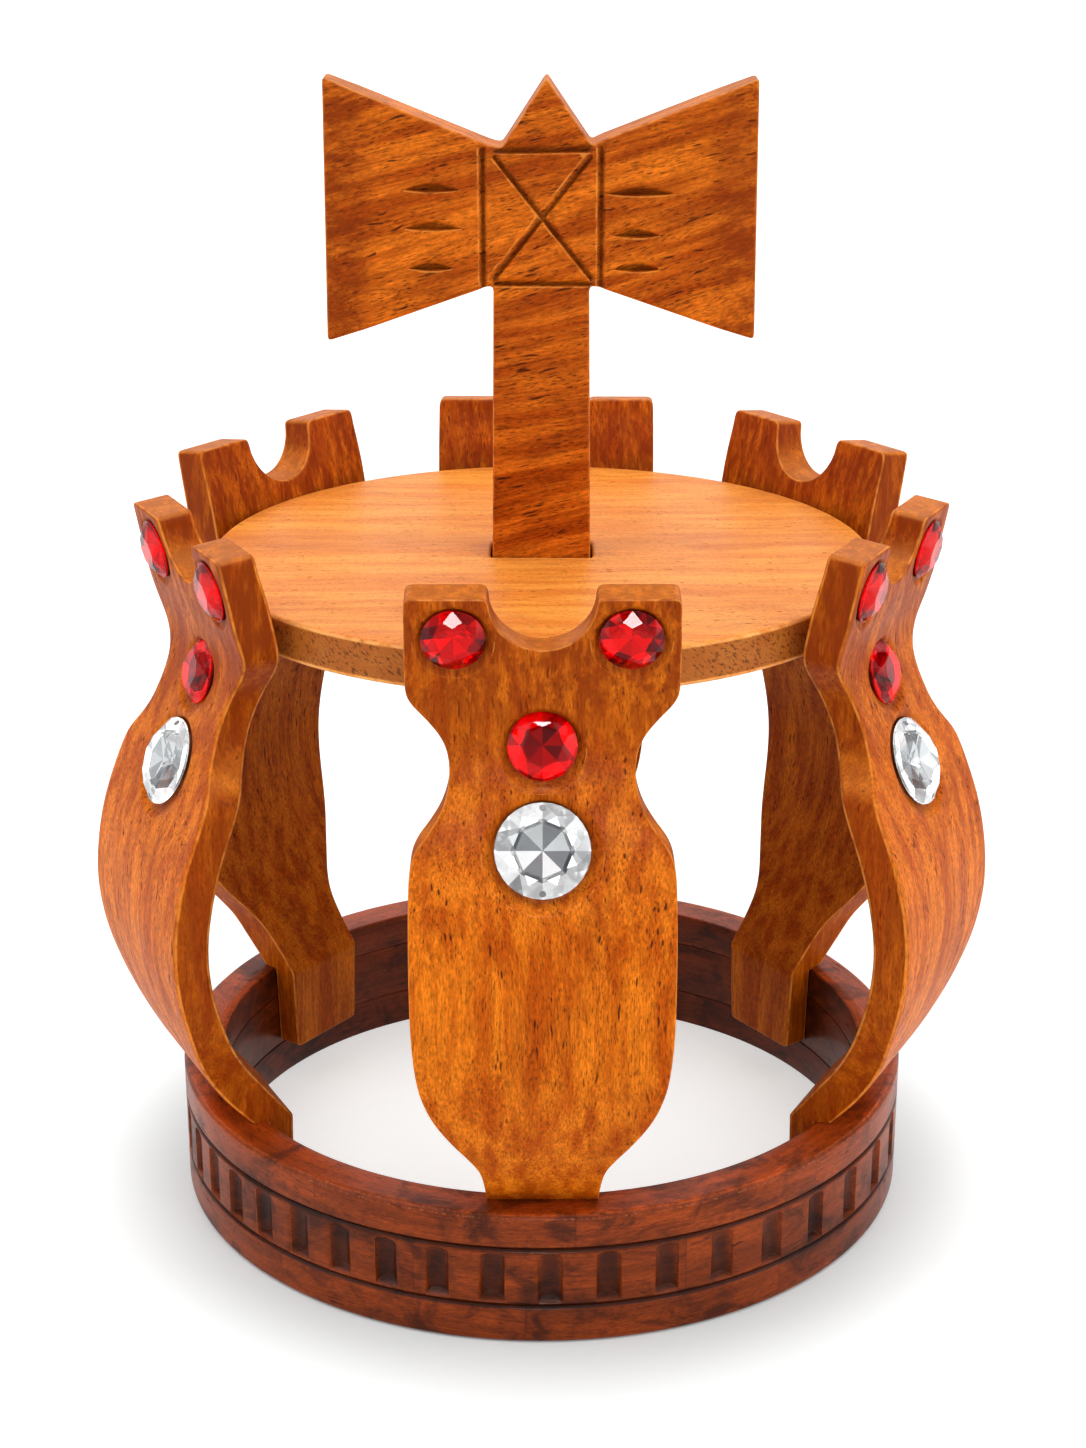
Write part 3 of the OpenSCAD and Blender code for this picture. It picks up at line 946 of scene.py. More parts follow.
def flute_cut(g, place, sizes):
    """The angle that a point of the ring's outer wall turns to, how far it moves in, and whether it
    is on a flute's rim."""
    x, y, z = (g.split(place, axis) for axis in "XYZ")
    along = g.math("ARCTAN2", y, x) * (sizes["Flutes"] / (2 * math.pi))
    number = g.math("ROUND", along)
    first, second = (
        g.node("FunctionNodeRandomValue", {"data_type": "FLOAT"},
               {"Min_001": -1.0, "Max_001": 1.0, "ID": number + FLUTE_COUNT, "Seed": seed}, "Value_001")
        for seed in FLUTE_SEEDS)

    def drift(step):
        even = step * (2 * math.pi / FLUTE_COUNT)
        return even + (1 - g.math("COSINE", even)) * sizes["Drift"] + sizes["Start"]

    angle = drift(number + crowded(g, along - number))
    aside = (angle - drift(number)) * (RING_R * MM)
    up = z - sizes["Middle"]
    depth = sizes["Depth"] * (1 + first * DEPTH_VARIES) - up * sizes["Lean"]
    half = sizes["Length"] / 2
    across = (aside + second * ASIDE_VARIES) / (sizes["Half Width"] * (1 + second * WIDTH_VARIES))
    head = g.math("MAXIMUM", up + first * HEAD_VARIES - half + sizes["Head"], 0.0) / sizes["Head"]
    inside_it = 1 - across * across - head * head
    groove = g.math("SQRT", g.math("MAXIMUM", inside_it, 0.0)) * depth
    foot = (half + up) * FOOT_SLOPE
    cut = g.math("MAXIMUM", g.math("MINIMUM", groove, foot), 0.0)
    rim = g.clamp(1 - g.math("ABSOLUTE", inside_it) / RIM_SHARE) * (foot > -0.2 * MM)
    return angle, cut, rim


# %% [markdown]
# The tree of a ring carries the section round the path. For the fluted ring it then moves the points
# of the outer wall to where the flutes put them. The plain rings leave that part out.

# %% The tree of one ring
def ring_tree(name, fluted):
    """A Geometry Nodes tree that makes one ring of the headband."""
    floats = ("Radius", "Flutes", "Start", "Drift", "Middle", "Length", "Depth", "Lean", "Half Width", "Head")
    inputs = {"Section": "Object", "Wood": "Material", "Columns": "Int", **dict.fromkeys(floats, "Float")}
    g, sizes = new_tree(name, inputs)
    path = g.node("GeometryNodeCurvePrimitiveCircle", {"mode": "RADIUS"},
                  {"Resolution": sizes["Columns"], "Radius": sizes["Radius"]}, "Curve")
    section = object_shape(g, sizes["Section"])
    mesh = g.node("GeometryNodeCurveToMesh", None, {"Curve": path, "Profile Curve": section}, "Mesh")
    if fluted:
        place = g.node("GeometryNodeInputPosition")
        angle, cut, rim = flute_cut(g, place, sizes)
        x, y, z = (g.split(place, axis) for axis in "XYZ")
        radius = g.math("SQRT", x * x + y * y)
        outer = radius > (RING_R - 0.01) * MM
        moved = radius - cut * outer
        mesh = store(g, mesh, "POINT", "hollow", cut * outer / MM)
        mesh = store(g, mesh, "POINT", "arris", rim * outer)
        target = g.join(g.math("COSINE", angle) * moved, g.math("SINE", angle) * moved, z)
        mesh = g.node("GeometryNodeSetPosition", None, {"Geometry": mesh, "Position": target}, "Geometry")
    real = g.node("GeometryNodeRealizeInstances", None, {"Geometry": mesh}, "Geometry")
    return end_tree(g, real, (sizes["Wood"], True))


# %% [markdown]
# The lower and upper rings are plain, so a few hundred columns are enough. The fluted ring has 28
# columns to a flute, and rows that crowd together where the flutes begin and end.

# %% Make the three rings
FLUTE_LENGTH = 15.6
PLAIN_COLUMNS = 360
RING_CREASE = math.radians(40)
low = LOWER_H
high = LOWER_H + FLUTED_H
middle = (low + high) / 2
plain_rows = np.linspace(0, 1, 4)[1:-1]
foot_rows = np.linspace(-0.1, 1.5, 9) - FLUTE_LENGTH / 2
flute_rows = middle + np.concatenate([foot_rows, np.linspace(-5.6, 5.6, 9), -foot_rows[::-1]])
# Lower and upper face, bevel of each, rows of points on the wall, columns round the ring
PLANS = {
    "lower_ring": (0, low, RIM_BEVEL, GROOVE_BEVEL, plain_rows * low, PLAIN_COLUMNS),
    "fluted_ring": (low, high, GROOVE_BEVEL, GROOVE_BEVEL, flute_rows, FLUTE_COUNT * FLUTE_COLUMNS),
    "upper_ring": (high, RING_H, GROOVE_BEVEL, RIM_BEVEL, high + plain_rows * (RING_H - high), PLAIN_COLUMNS),
}
FLUTE_SIZES = {
    "Flutes": float(FLUTE_COUNT),
    "Start": math.radians(271.6),
    "Drift": math.radians(8.0),
    "Middle": middle * MM,
    "Length": FLUTE_LENGTH * MM,
    "Depth": 1.9 * MM,
    "Lean": math.tan(math.radians(4.5)),
    "Half Width": 3.35 * MM,
    "Head": 1.6 * MM,
}
ring_wood = bpy.data.materials.new("headband_wood")
rings = {}
for name, (bottom, top, low_bevel, high_bevel, rows, columns) in PLANS.items():
    fluted = name == "fluted_ring"
    section = section_curve(name + "_section", ring_section(bottom, top, low_bevel, high_bevel, rows))
    values = {"Section": section, "Wood": ring_wood, "Columns": columns, "Radius": RING_R * MM}
    values.update(FLUTE_SIZES if fluted else {})
    rings[name] = from_nodes("turned_" + name, ring_tree(name + "_tree", fluted), values)
    bpy.data.objects.remove(section)
    mesh = rings[name].data
    mesh.shade_smooth()
    mesh.set_sharp_from_angle(angle=RING_CREASE)
    corners = np.array([v.co for v in mesh.vertices]) / MM
    print(name, len(mesh.polygons), "faces, from", corners.min(0).round(2), "to", corners.max(0).round(2))

# %% [markdown]
# ## The stones
#
# The stones are moulded acrylic with a mirror foil on the back: a table, a star of small facets,
# kites, girdle facets, and a shallow back whose facets meet at the middle. One stone of unit width
# is made facet by facet. Geometry Nodes then put it on every seat at that seat's size and tilt, and
# give its front the clear material and its back the foil. Light goes in, bounces off the foil and
# comes out again, so the sparkle changes from every side. The foil also has a painted glow, and its
# tones carry painted reflections.

# %% The levels of a cut stone, one unit across
# Heights are shares of the stone's width, and radii are shares of its own radius
TABLE_SHARE = 0.56
CROWN_SHARE = 0.15
CULET_SHARE = 0.012
PAVILION_SHARE = 0.58
GIRDLE_SHARE = 0.012
MAINS = 8
GIRDLE_SIDES = 32


def facet_ring(radius, z, count, first):
    """Points of one level of the stone."""
    turn = np.radians(first + 360 * np.arange(count) / count)
    return np.column_stack([radius * np.cos(turn), radius * np.sin(turn), np.full(count, z)])


def stone_levels():
    """Radius, height, number of points and first angle of each level of the stone."""
    r = 0.5
    table = r * TABLE_SHARE
    star = r * (1 + TABLE_SHARE) * 0.49
    fall = (star * math.cos(math.pi / MAINS) - table) / (r - table)
    return {
        "table": (table, GIRDLE_SHARE + CROWN_SHARE, MAINS, 0),
        "star": (star, GIRDLE_SHARE + CROWN_SHARE * (1 - fall), MAINS, 180 / MAINS),
        "girdle": (r, GIRDLE_SHARE, GIRDLE_SIDES, 0),
        "edge": (r, -GIRDLE_SHARE, GIRDLE_SIDES, 0),
        "culet": (r * CULET_SHARE, -GIRDLE_SHARE - BACK_SHARE, MAINS, 0),
        "main": (r * PAVILION_SHARE, -GIRDLE_SHARE - BACK_SHARE * (1 - PAVILION_SHARE), MAINS, 0),
    }


print("levels of a stone:", ", ".join(stone_levels()))

# %% [markdown]
# Each facet joins points of neighbouring levels, found by counting round them. Its points go
# anticlockwise as seen from outside, so that every facet faces out.

# %% The facets of a stone
def cut_stone(name):
    """The stone as an object, with the foiled faces marked."""
    levels = stone_levels()
    counts = {level: row[2] for level, row in levels.items()}
    firsts = dict(zip(levels, np.cumsum([0, *counts.values()]).tolist()))

    def at(level, k):
        """The number of the point that is k places round a level."""
        return firsts[level] + k % counts[level]

    table, star, girdle, edge, culet, main = (lambda k, level=level: at(level, k) for level in levels)
    eight = range(MAINS)
    front = [tuple(table(k) for k in eight)]
    front += [(table(k + 1), table(k), star(k)) for k in eight]
    front += [(star(k), table(k), star(k - 1), girdle(4 * k)) for k in eight]
    front += [(girdle(4 * k + 2), star(k), girdle(4 * k), girdle(4 * k + 1)) for k in eight]
    front += [(girdle(4 * k + 4), star(k), girdle(4 * k + 2), girdle(4 * k + 3)) for k in eight]
    front += [(girdle(k + 1), girdle(k), edge(k), edge(k + 1)) for k in range(GIRDLE_SIDES)]
    back = [(edge(4 * k + 2), edge(4 * k + 1), edge(4 * k), main(k)) for k in eight]
    back += [(edge(4 * k + 4), edge(4 * k + 3), edge(4 * k + 2), main(k + 1)) for k in eight]
    back += [(main(k + 1), edge(4 * k + 2), main(k)) for k in eight]
    middle = [(main(k + 1), main(k), culet(k), culet(k + 1)) for k in eight]
    middle += [tuple(culet(k) for k in reversed(eight))]
    made = make_object(name, np.vstack([facet_ring(*row) for row in levels.values()]), front + back + middle)
    made.data.shade_flat()
    foiled = made.data.attributes.new("foiled", "BOOLEAN", "FACE")
    foiled.data.foreach_set("value", [False] * len(front) + [True] * len(back + middle))
    central = made.data.attributes.new("central", "FLOAT", "FACE")
    central.data.foreach_set("value", [0.0] * len(front + back) + [1.0] * len(middle))
    return made


# %% [markdown]
# A large stone has two holes that it could be sewn on by. Through the clear acrylic they show as
# dark dots, so each is a dark plug whose top lies just proud of the facet, a painted shade in place
# of the shade inside a hole. A hole cut through the facets would need a cut in the foil too.

# %% The sewing holes of a stone one unit across
HOLE_R = 0.036
HOLE_AT = 0.445
HOLE_SIDES = 12
HOLE_TOP = 0.002
HOLE_FOOT = -0.015


def sewing_holes(name):
    """The two small holes near a large stone's edge, as dark plugs that lie in the facets: painted
    shade in place of the holes' own shade.
    """
    slope = math.atan(CROWN_SHARE / (0.5 - 0.5 * TABLE_SHARE))
    height = GIRDLE_SHARE + (0.5 - HOLE_AT) * math.tan(slope)
    sides = range(HOLE_SIDES)
    verts = []
    faces = []
    for side in (1, -1):
        for depth in (HOLE_TOP, HOLE_FOOT):
            x, y, z = facet_ring(HOLE_R, depth, HOLE_SIDES, 0).T
            out = HOLE_AT + x * math.cos(slope) + z * math.sin(slope)
            up = height + z * math.cos(slope) - x * math.sin(slope)
            verts.append(np.column_stack([side * out, side * y, up]))
    for top in (0, 2 * HOLE_SIDES):
        foot = top + HOLE_SIDES
        faces += [tuple(top + k for k in sides), tuple(foot + k for k in reversed(sides))]
        faces += [(top + (k + 1) % HOLE_SIDES, top + k, foot + k, foot + (k + 1) % HOLE_SIDES) for k in sides]
    return make_object(name, np.vstack(verts), faces)


# %% [markdown]
# A stone sits flat in its recess, on the slope that the arm's face has there. Each seat is a point
# that carries its turn and its size, so that one tree can set every stone.

# %% The seats, as points that carry a size and a turn
def seats(wanted):
    """A mesh of points, one at each stone's seat, with its turn, its diameter and 1 if on an ear."""
    places = []
    turns = []
    sizes = []
    shades = []
    for degrees in ARMS.values():
        for name, aside, up, dia, _ in STONES:
            if wanted(name):
                place = turned(*np.array([[cubic(ARM_SIDE, 1, up)], [aside], [up]]), degrees)
                places += [place[0] * MM]
                turns += [(0, math.pi / 2 + math.atan(face_slope(up)), math.radians(degrees))]
                sizes += [dia * MM]
                shades += [1.0 if name.startswith("ear") else 0.0]
    made = make_object("seats", places, [], {"shade": shades, "size": sizes})
    made.data.attributes.new("turn", "FLOAT_VECTOR", "POINT").data.foreach_set("vector", np.ravel(turns))
    return made


# %% [markdown]
# Pressed foil mirrors differently from facet to facet. The tree numbers the facets after the stones
# are set, and gives each one a tone that is partly chance, partly every other one, and paler on
# facets that look down, a painted reflection of the table.

# %% The tree that sets the stones
# Shares of a facet's tone: by chance, on every other facet, and on facets that look down, which is
# a painted reflection of the table
TONE_CHANCE = 0.45
TONE_EVERY_OTHER = 0.3
TONE_TABLE_REFLECTION = 0.25
TONE_SEED = 3


def stone_tree():
    """A tree that sets one cut stone on every seat."""
    g, given = new_tree("set_stones", {
        "Seats": "Object", "Stone": "Object", "Front": "Material", "Foil": "Material", "Fullness": "Float"})

    def attribute(name, kind):
        return g.node("GeometryNodeInputNamedAttribute", {"data_type": kind}, {"Name": name}, "Attribute")

    turn = g.node("FunctionNodeEulerToRotation", None, {0: attribute("turn", "FLOAT_VECTOR")})
    size = attribute("size", "FLOAT") * given["Fullness"]
    put = g.node("GeometryNodeInstanceOnPoints", None, {
        "Points": object_shape(g, given["Seats"]), "Instance": object_shape(g, given["Stone"]),
        "Rotation": turn, "Scale": g.join(size, size, size)})
    real = g.node("GeometryNodeRealizeInstances", None, {"Geometry": put}, "Geometry")
    facet = g.node("GeometryNodeInputIndex")
    chance = g.node("FunctionNodeRandomValue", {"data_type": "FLOAT"},
                    {"ID": facet, "Seed": TONE_SEED}, "Value_001")
    every_other = g.math("MODULO", facet, 2.0)
    # Painted reflection: facets that look down are paler, as if they mirrored the table
    lower = g.step(g.split(g.node("GeometryNodeInputNormal"), "Z"), 0.1, -0.2)
    tone = chance * TONE_CHANCE + every_other * TONE_EVERY_OTHER + lower * TONE_TABLE_REFLECTION
    real = store(g, real, "FACE", "tone", tone)
    return end_tree(g, real, (given["Front"], True), (given["Foil"], attribute("foiled", "BOOLEAN")))


# %% [markdown]
# The tree is run once for the red stones, once for the clear ones and once for the plugs in the
# clear ones. Their materials are empty as yet, and their shaders are built further on.

# %% Set the stones
FULLNESS = 0.995
STONE_PARTS = {kind: [bpy.data.materials.new(f"{kind}_{part}") for part in ("acrylic", "foil")]
               for kind in ("red", "clear")}
painted_hole_shade = bpy.data.materials.new("painted_hole_shade")
stone_nodes = stone_tree()


def set_stones(name, points, unit, front, foil):
    """One unit stone on every seat, as one mesh."""
    made = from_nodes(name, stone_nodes, {
        "Seats": points, "Stone": unit, "Front": front, "Foil": foil, "Fullness": FULLNESS})
    print(name, len(made.data.polygons), "facets")
    return made


unit_stone = cut_stone("unit_stone")
unit_holes = sewing_holes("unit_holes")
red_seats = seats(lambda name: name != "clear_stone")
clear_seats = seats(lambda name: name == "clear_stone")
stones = {
    "red": set_stones("red_stones", red_seats, unit_stone, *STONE_PARTS["red"]),
    "clear": set_stones("clear_stones", clear_seats, unit_stone, *STONE_PARTS["clear"]),
}
holes = set_stones("sewing_holes", clear_seats, unit_holes, painted_hole_shade, painted_hole_shade)
for used in (unit_stone, unit_holes, red_seats, clear_seats):
    bpy.data.objects.remove(used)

# %% [markdown]
# ## The woods
#
# Waxed tropical wood shows several things at once: broad bands of tone along the grain, fine
# fibres, short dark pore dashes that gather in clusters, and a brown mottling where hands and dirt
# have been. Each is a stretched noise in a grain space in millimetres, whose z runs along the
# fibres. The noise is solid, so a sawn edge shows the same bands as the face beside it. The marks
# that the meshes carry say where the finish is worn thin on an arris, where a lip is painted pale
# as a painted highlight, and where a hollow is painted darker as painted shade.

# %% Colours and the grain space
def spectrum(red, green, blue):
    """A linear colour from the usual numbers up to 255."""
    return tuple(((c / 255 + 0.055) / 1.055) ** 2.4 for c in (red, green, blue))


def open_shader(made):
    """A material's graph and its shader node."""
    made.use_nodes = True
    return Graph(made.node_tree), made.node_tree.nodes["Principled BSDF"]


def place_mm(g):
    """The surface point in millimetres."""
    at = g.node("ShaderNodeTexCoord", None, None, "Object")
    return g.vector("MULTIPLY", at, (1 / MM, 1 / MM, 1 / MM))


def grain_space(g, degrees):
    """The point turned so that its z runs along fibres that rise to the right by some degrees."""
    return g.node("ShaderNodeVectorRotate", {"rotation_type": "Y_AXIS"},
                  {"Vector": place_mm(g), "Angle": math.radians(degrees - 90)})


def mark(g, name):
    """One of the marks that the meshes carry."""
    return g.node("ShaderNodeAttribute", {"attribute_name": name}, None, "Fac")


def grey(g, value):
    """A grey of some brightness."""
    return g.join(value, value, value)


def tinted(g, colour, brightness):
    """A colour made brighter or darker."""
    return g.vector("MULTIPLY", colour, grey(g, brightness))


# %% [markdown]
# Every wood here is built from the same layers, so one function makes them from a grain space, and
# another turns them into a colour. An image of wood would repeat, and would not run over an edge.

# %% Noise and pores that follow the grain
# Millimetres across the grain and along it, then the noise's detail and roughness
GRAIN = {
    "band": (5.0, 70.0, 3.0, 0.65),
    "fibre": (0.5, 12.0, 2.0, 0.7),
    "fleck": (0.6, 2.0, 2.0, 0.75),
    "gather": (7.0, 22.0, 2.0, 0.5),
    "dirt": (16.0, 30.0, 3.0, 0.6),
    "line": (9.0, 260.0, 1.0, 0.5),
}
CENTRE = (0.5, 0.5, 0.5)
SWAY_MM = 14.0
CURL_MM = 2.0
# In widths of a fine pore: how long it is, how wide and how long a coarse one is
FINE_ALONG = 6.0
COARSE_ACROSS = 2.6
COARSE_ALONG = 22.0
# The coarse pores read their cells from elsewhere, so that the two kinds don't line up
COARSE_SHIFT = (31.7, 12.1, 5.3)


def squeezed(g, grain, across, along):
    """The grain space with some millimetres across and along made one unit."""
    return g.vector("MULTIPLY", grain, (1 / across, 1 / across, 1 / along))


def stretched(g, grain, across, along, detail=2.0, roughness=0.5):
    """Noise with features of some millimetres across and along the grain."""
    return g.noise(squeezed(g, grain, across, along), 1.0, detail, roughness)


def bend(g, grain, vector, scale, size):
    """Slow bends to add to the grain space, by some millimetres on each axis."""
    noise = g.node("ShaderNodeTexNoise", None, {"Vector": vector, "Scale": scale, "Detail": 1.0}, "Color")
    moved = g.vector("MULTIPLY", g.vector("SUBTRACT", noise, CENTRE), size)
    return g.vector("ADD", grain, moved)


def dashes(g, grain, across, along, share, size):
    """Short pores: one spindle in a share of the cells of a stretched cell pattern."""
    cells = g.node("ShaderNodeTexVoronoi", None,
                   {"Vector": squeezed(g, grain, across, along), "Scale": 1.0}, "Distance")
    chance = g.split(Link(g, cells.socket.node.outputs["Color"]), "X")
    return g.step(cells, size, size * 0.45) * (chance < share)


# %% [markdown]
# Bands, fibres and long lines read the same bent grain space, so they sway together as the fibres
# of one board do. The dirt lies on the surface and doesn't follow them.

# %% The layers of a wood
def wood_layers(g, grain, pores, pore_mm=0.6, pore_grain=None):
    """Bands, fibres, pores, dirt and long dark lines, each from 0 to 1."""
    bent = bend(g, grain, squeezed(g, grain, 50.0, 125.0), 1.0, (SWAY_MM, SWAY_MM, 0.0))
    pored = bend(g, pore_grain or bent, grain, 0.16, (CURL_MM, CURL_MM, CURL_MM))
    gather = stretched(g, bent, *GRAIN["gather"])
    share = g.step(gather, 0.36, 0.66, pores * 0.12, pores * 1.8)
    fine = dashes(g, pored, pore_mm, pore_mm * FINE_ALONG, share, 0.4) * 0.7
    elsewhere = g.vector("ADD", pored, COARSE_SHIFT)
    coarse = dashes(g, elsewhere, pore_mm * COARSE_ACROSS, pore_mm * COARSE_ALONG, share * 0.9, 0.28)
    line = g.math("ABSOLUTE", stretched(g, bent, *GRAIN["line"]) - 0.5)
    return {
        "band": stretched(g, bent, *GRAIN["band"]),
        "fibre": stretched(g, bent, *GRAIN["fibre"]),
        "fleck": stretched(g, pored if pore_grain else bent, *GRAIN["fleck"]),
        "pore": g.math("MAXIMUM", fine, coarse),
        "dirt": stretched(g, grain, *GRAIN["dirt"]),
        "line": g.step(line, 0.008, 0.0) * g.step(gather, 0.56, 0.66),
    }


# %% [markdown]
# The layers become a colour, the finish goes over it, and the marks of the mesh say where that
# finish is worn, where lips get a painted highlight and where hollows get painted shade. Wax is
# thin, so the pores and the fibres still break its gloss.

# %% Colour, wear and wax
def shade_wood(g, layers, tones, strength=1.0, pore_strength=0.85, dirt_and_shade_share=0.4):
    """The layers as one colour. The tones are pale, deep, brown and the pores' own."""
    pale, deep, brown, dark = tones
    colour = g.mix(g.step(layers["band"], 0.34, 0.66), pale, deep)
    fine = 1 + (layers["fibre"] - 0.5) * 1.3 * strength + (layers["fleck"] - 0.5) * 1.7 * strength
    colour = g.mix(g.step(layers["dirt"], 0.5, 0.74) * dirt_and_shade_share, tinted(g, colour, fine), brown)
    colour = g.mix(layers["line"] * 0.6 * strength, colour, dark)
    return g.mix(layers["pore"] * pore_strength, colour, dark)


def wear_and_painted_light(g, colour, wear_and_highlight, hollow_shade, edge_share, dirt_and_shade_share, shade_depth=1.6):
    """Pale worn arrises and painted highlights on lit lips, broken here and there, and painted shade
    in the hollows from some depth on.
    """
    patchy = g.step(stretched(g, place_mm(g), 4.0, 4.0, 1.0), 0.35, 0.6, 0.3, 1.0)
    # Painted shade: the hollows are darkened from some depth on
    colour = g.mix(g.step(mark(g, "hollow"), 0.1, shade_depth) * dirt_and_shade_share, colour, hollow_shade)
    return g.mix(g.step(mark(g, "arris"), 0.7, 1.0) * patchy * edge_share, colour, wear_and_highlight)


def wax(g, shader, colour, layers, rough, shine, coat):
    """Wires the colour, the gloss and the relief of the fibres into the shader."""
    relief = layers["fibre"] * 0.4 + layers["fleck"] * 0.5
    normal = g.node("ShaderNodeBump", None, {"Strength": 0.5, "Distance": 0.22 * MM, "Height": relief})
    gloss = rough + (layers["fibre"] - 0.5) * 0.15 + layers["pore"] * 0.25 + (layers["dirt"] - 0.5) * 0.2
    g.feed(shader, {"Base Color": colour, "Roughness": gloss, "Normal": normal, "Specular IOR Level": shine,
                    "Coat Weight": coat, "Coat Roughness": 0.18})


# %% [markdown]
# The arms and the axe are of one orange wood that has been waxed and handled for years: browner
# where hands hold it and on its sawn edges, and paler on its worn arrises. Painted shade darkens
# its hollows and the inner faces below the board, painted highlights pale the lips below its cuts
# and recesses, and a painted top light pales its sawn faces that look up. One function makes both.
# Each passes its own tones, its grain's direction and the mask of where hands go.

# %% Arms and axe
# Pale, deep, brown and the pores' own
ORANGE = (spectrum(208, 108, 17), spectrum(167, 70, 3), spectrum(126, 46, 2), spectrum(50, 14, 2))
AXE_ORANGE = (spectrum(204, 104, 20), spectrum(148, 60, 4), spectrum(118, 42, 3), spectrum(46, 14, 2))
# The pale of worn arrises, also used for painted highlights and a painted top light
WORN_AND_LIT_ORANGE = spectrum(230, 146, 62)


def carved_wood(name, degrees, pores, tones, browner, dirt):
    """The orange wood of the arms and the axe, browner on its sawn edges and where a mask says.
    It has a painted top light on sawn faces that look up and painted shade on the inner faces below
    the board. The pair dirt gives the share and the start depth of the painted shade in the hollows.
    """
    made = bpy.data.materials.new(name)
    g, shader = open_shader(made)
    grain = grain_space(g, degrees)
    height = g.split(place_mm(g), "Z")
    layers = wood_layers(g, grain, pores)
    colour = shade_wood(g, layers, tones, pore_strength=g.step(height, 45.0, 110.0, 0.35, 0.85))
    mottle = g.step(stretched(g, grain, 3.0, 14.0, 2.0, 0.7), 0.38, 0.62)
    colour = g.mix(browner(g) * (0.35 + mottle * 0.65), colour, tones[2])
    # Painted top light: sawn faces that look up are not browned, and are painted paler
    facing = g.node("ShaderNodeTexCoord", None, None, "Normal")
    painted_top_light = g.step(g.split(facing, "Z"), 0.3, 0.8)
    sawn = g.step(mark(g, "side"), 0.3, 0.7)
    colour = g.mix(sawn * (0.45 + mottle * 0.3) * (1 - painted_top_light), colour, tones[2])
    colour = g.mix(sawn * painted_top_light * 0.25, colour, WORN_AND_LIT_ORANGE)
    # Painted shade: the inner faces below the board are darkened, where the board shades them
    painted_under_board_shade = mark(g, "inner") * g.step(height, BOARD_Z - 3.6, BOARD_Z - 19.6)
    colour = tinted(g, colour, 1 - painted_under_board_shade * 0.42)
    # Pale worn arrises, painted highlights on the lit lips, and painted shade in the hollows
    colour = wear_and_painted_light(g, colour, WORN_AND_LIT_ORANGE, tones[3], edge_share=0.6, dirt_and_shade_share=dirt[0], shade_depth=dirt[1])
    wax(g, shader, colour, layers, rough=0.42, shine=0.035, coat=0.02)
    return made


def ears(g):
    """The arms are browner towards their ears, where hands lift the crown."""
    return g.step(g.split(place_mm(g), "Z"), 135.0, 200.0) * 0.85


def blade_ends(g):
    """The blades are browner towards their outer edges."""
    return g.step(g.math("ABSOLUTE", g.split(place_mm(g), "X")), 44.0, 52.0) * 0.75


arm_wood = carved_wood("arm_wood", degrees=90.0, pores=0.42, tones=ORANGE, browner=ears, dirt=(0.4, 1.6))
axe_wood = carved_wood("axe_wood", degrees=14.0, pores=0.6, tones=AXE_ORANGE, browner=blade_ends,
                       dirt=(0.65, 0.9))
print("nodes in the arms' wood:", len(arm_wood.node_tree.nodes))

# %% [markdown]
# The board is of a paler, honey-coloured wood with its grain across the crown. Its rim was sawn
# through the fibres, drank more varnish and is darker. A few faint streaks cross the face.

# %% Top board
HONEY = (spectrum(232, 148, 59), spectrum(213, 120, 41), spectrum(190, 101, 42), spectrum(106, 50, 16))
HONEY_STRIPE = spectrum(190, 104, 50)
HONEY_RIM = spectrum(150, 78, 26)
RIM_STREAK = spectrum(72, 32, 8)
WORN_HONEY = spectrum(250, 190, 120)


def honey_wood(name):
    """The pale board, with its streaks along x, a greyer stripe and a browner sawn rim."""
    made = bpy.data.materials.new(name)
    g, shader = open_shader(made)
    layers = wood_layers(g, grain_space(g, 0.0), pores=0.25, pore_mm=0.75, pore_grain=grain_space(g, -28.0))
    colour = shade_wood(g, layers, HONEY, strength=0.6, pore_strength=0.45, dirt_and_shade_share=0.5)
    back = g.split(place_mm(g), "Y") + (layers["dirt"] - 0.5) * 30
    stripe = g.step(back, -6.0, 6.0) * g.step(back, 22.0, 10.0)
    colour = g.mix(stripe * 0.45, colour, HONEY_STRIPE)
    rim = mark(g, "side")
    streak = stretched(g, grain_space(g, -34.0), 0.7, 9.0, 2.0, 0.6)
    colour = g.mix(rim * 0.8, colour, HONEY_RIM)
    colour = g.mix(rim * g.step(streak, 0.52, 0.66) * 0.75, colour, RIM_STREAK)
    colour = wear_and_painted_light(g, colour, WORN_HONEY, HONEY[3], edge_share=0.5, dirt_and_shade_share=0.0)
    wax(g, shader, colour, layers, rough=0.4, shine=0.1, coat=0.0)
    return made


board_wood = honey_wood("board_wood")
print("nodes in the board's wood:", len(board_wood.node_tree.nodes))

# %% [markdown]
# The headband was glued up from short pieces and turned on a lathe, as turned rings are, so that the
# grain follows the ring. The shader works out the piece from the angle, shifts the grain and the tone
# for each piece, and draws the thin glue line between two pieces. Each layer's joints are staggered.

# %% Headband
MAHOGANY = (spectrum(136, 55, 13), spectrum(110, 43, 9), spectrum(52, 19, 5), spectrum(18, 6, 3))
# The painted highlight along the crest
PAINTED_CREST_HIGHLIGHT = spectrum(190, 110, 70)
WORN_MAHOGANY = spectrum(180, 92, 48)
JOINTS = (LOWER_H, LOWER_H + FLUTED_H)
PIECES = 9
# In pieces: how far one layer is turned against the next, and where their count starts
STAGGER = 0.41
FIRST_PIECE = 20.3


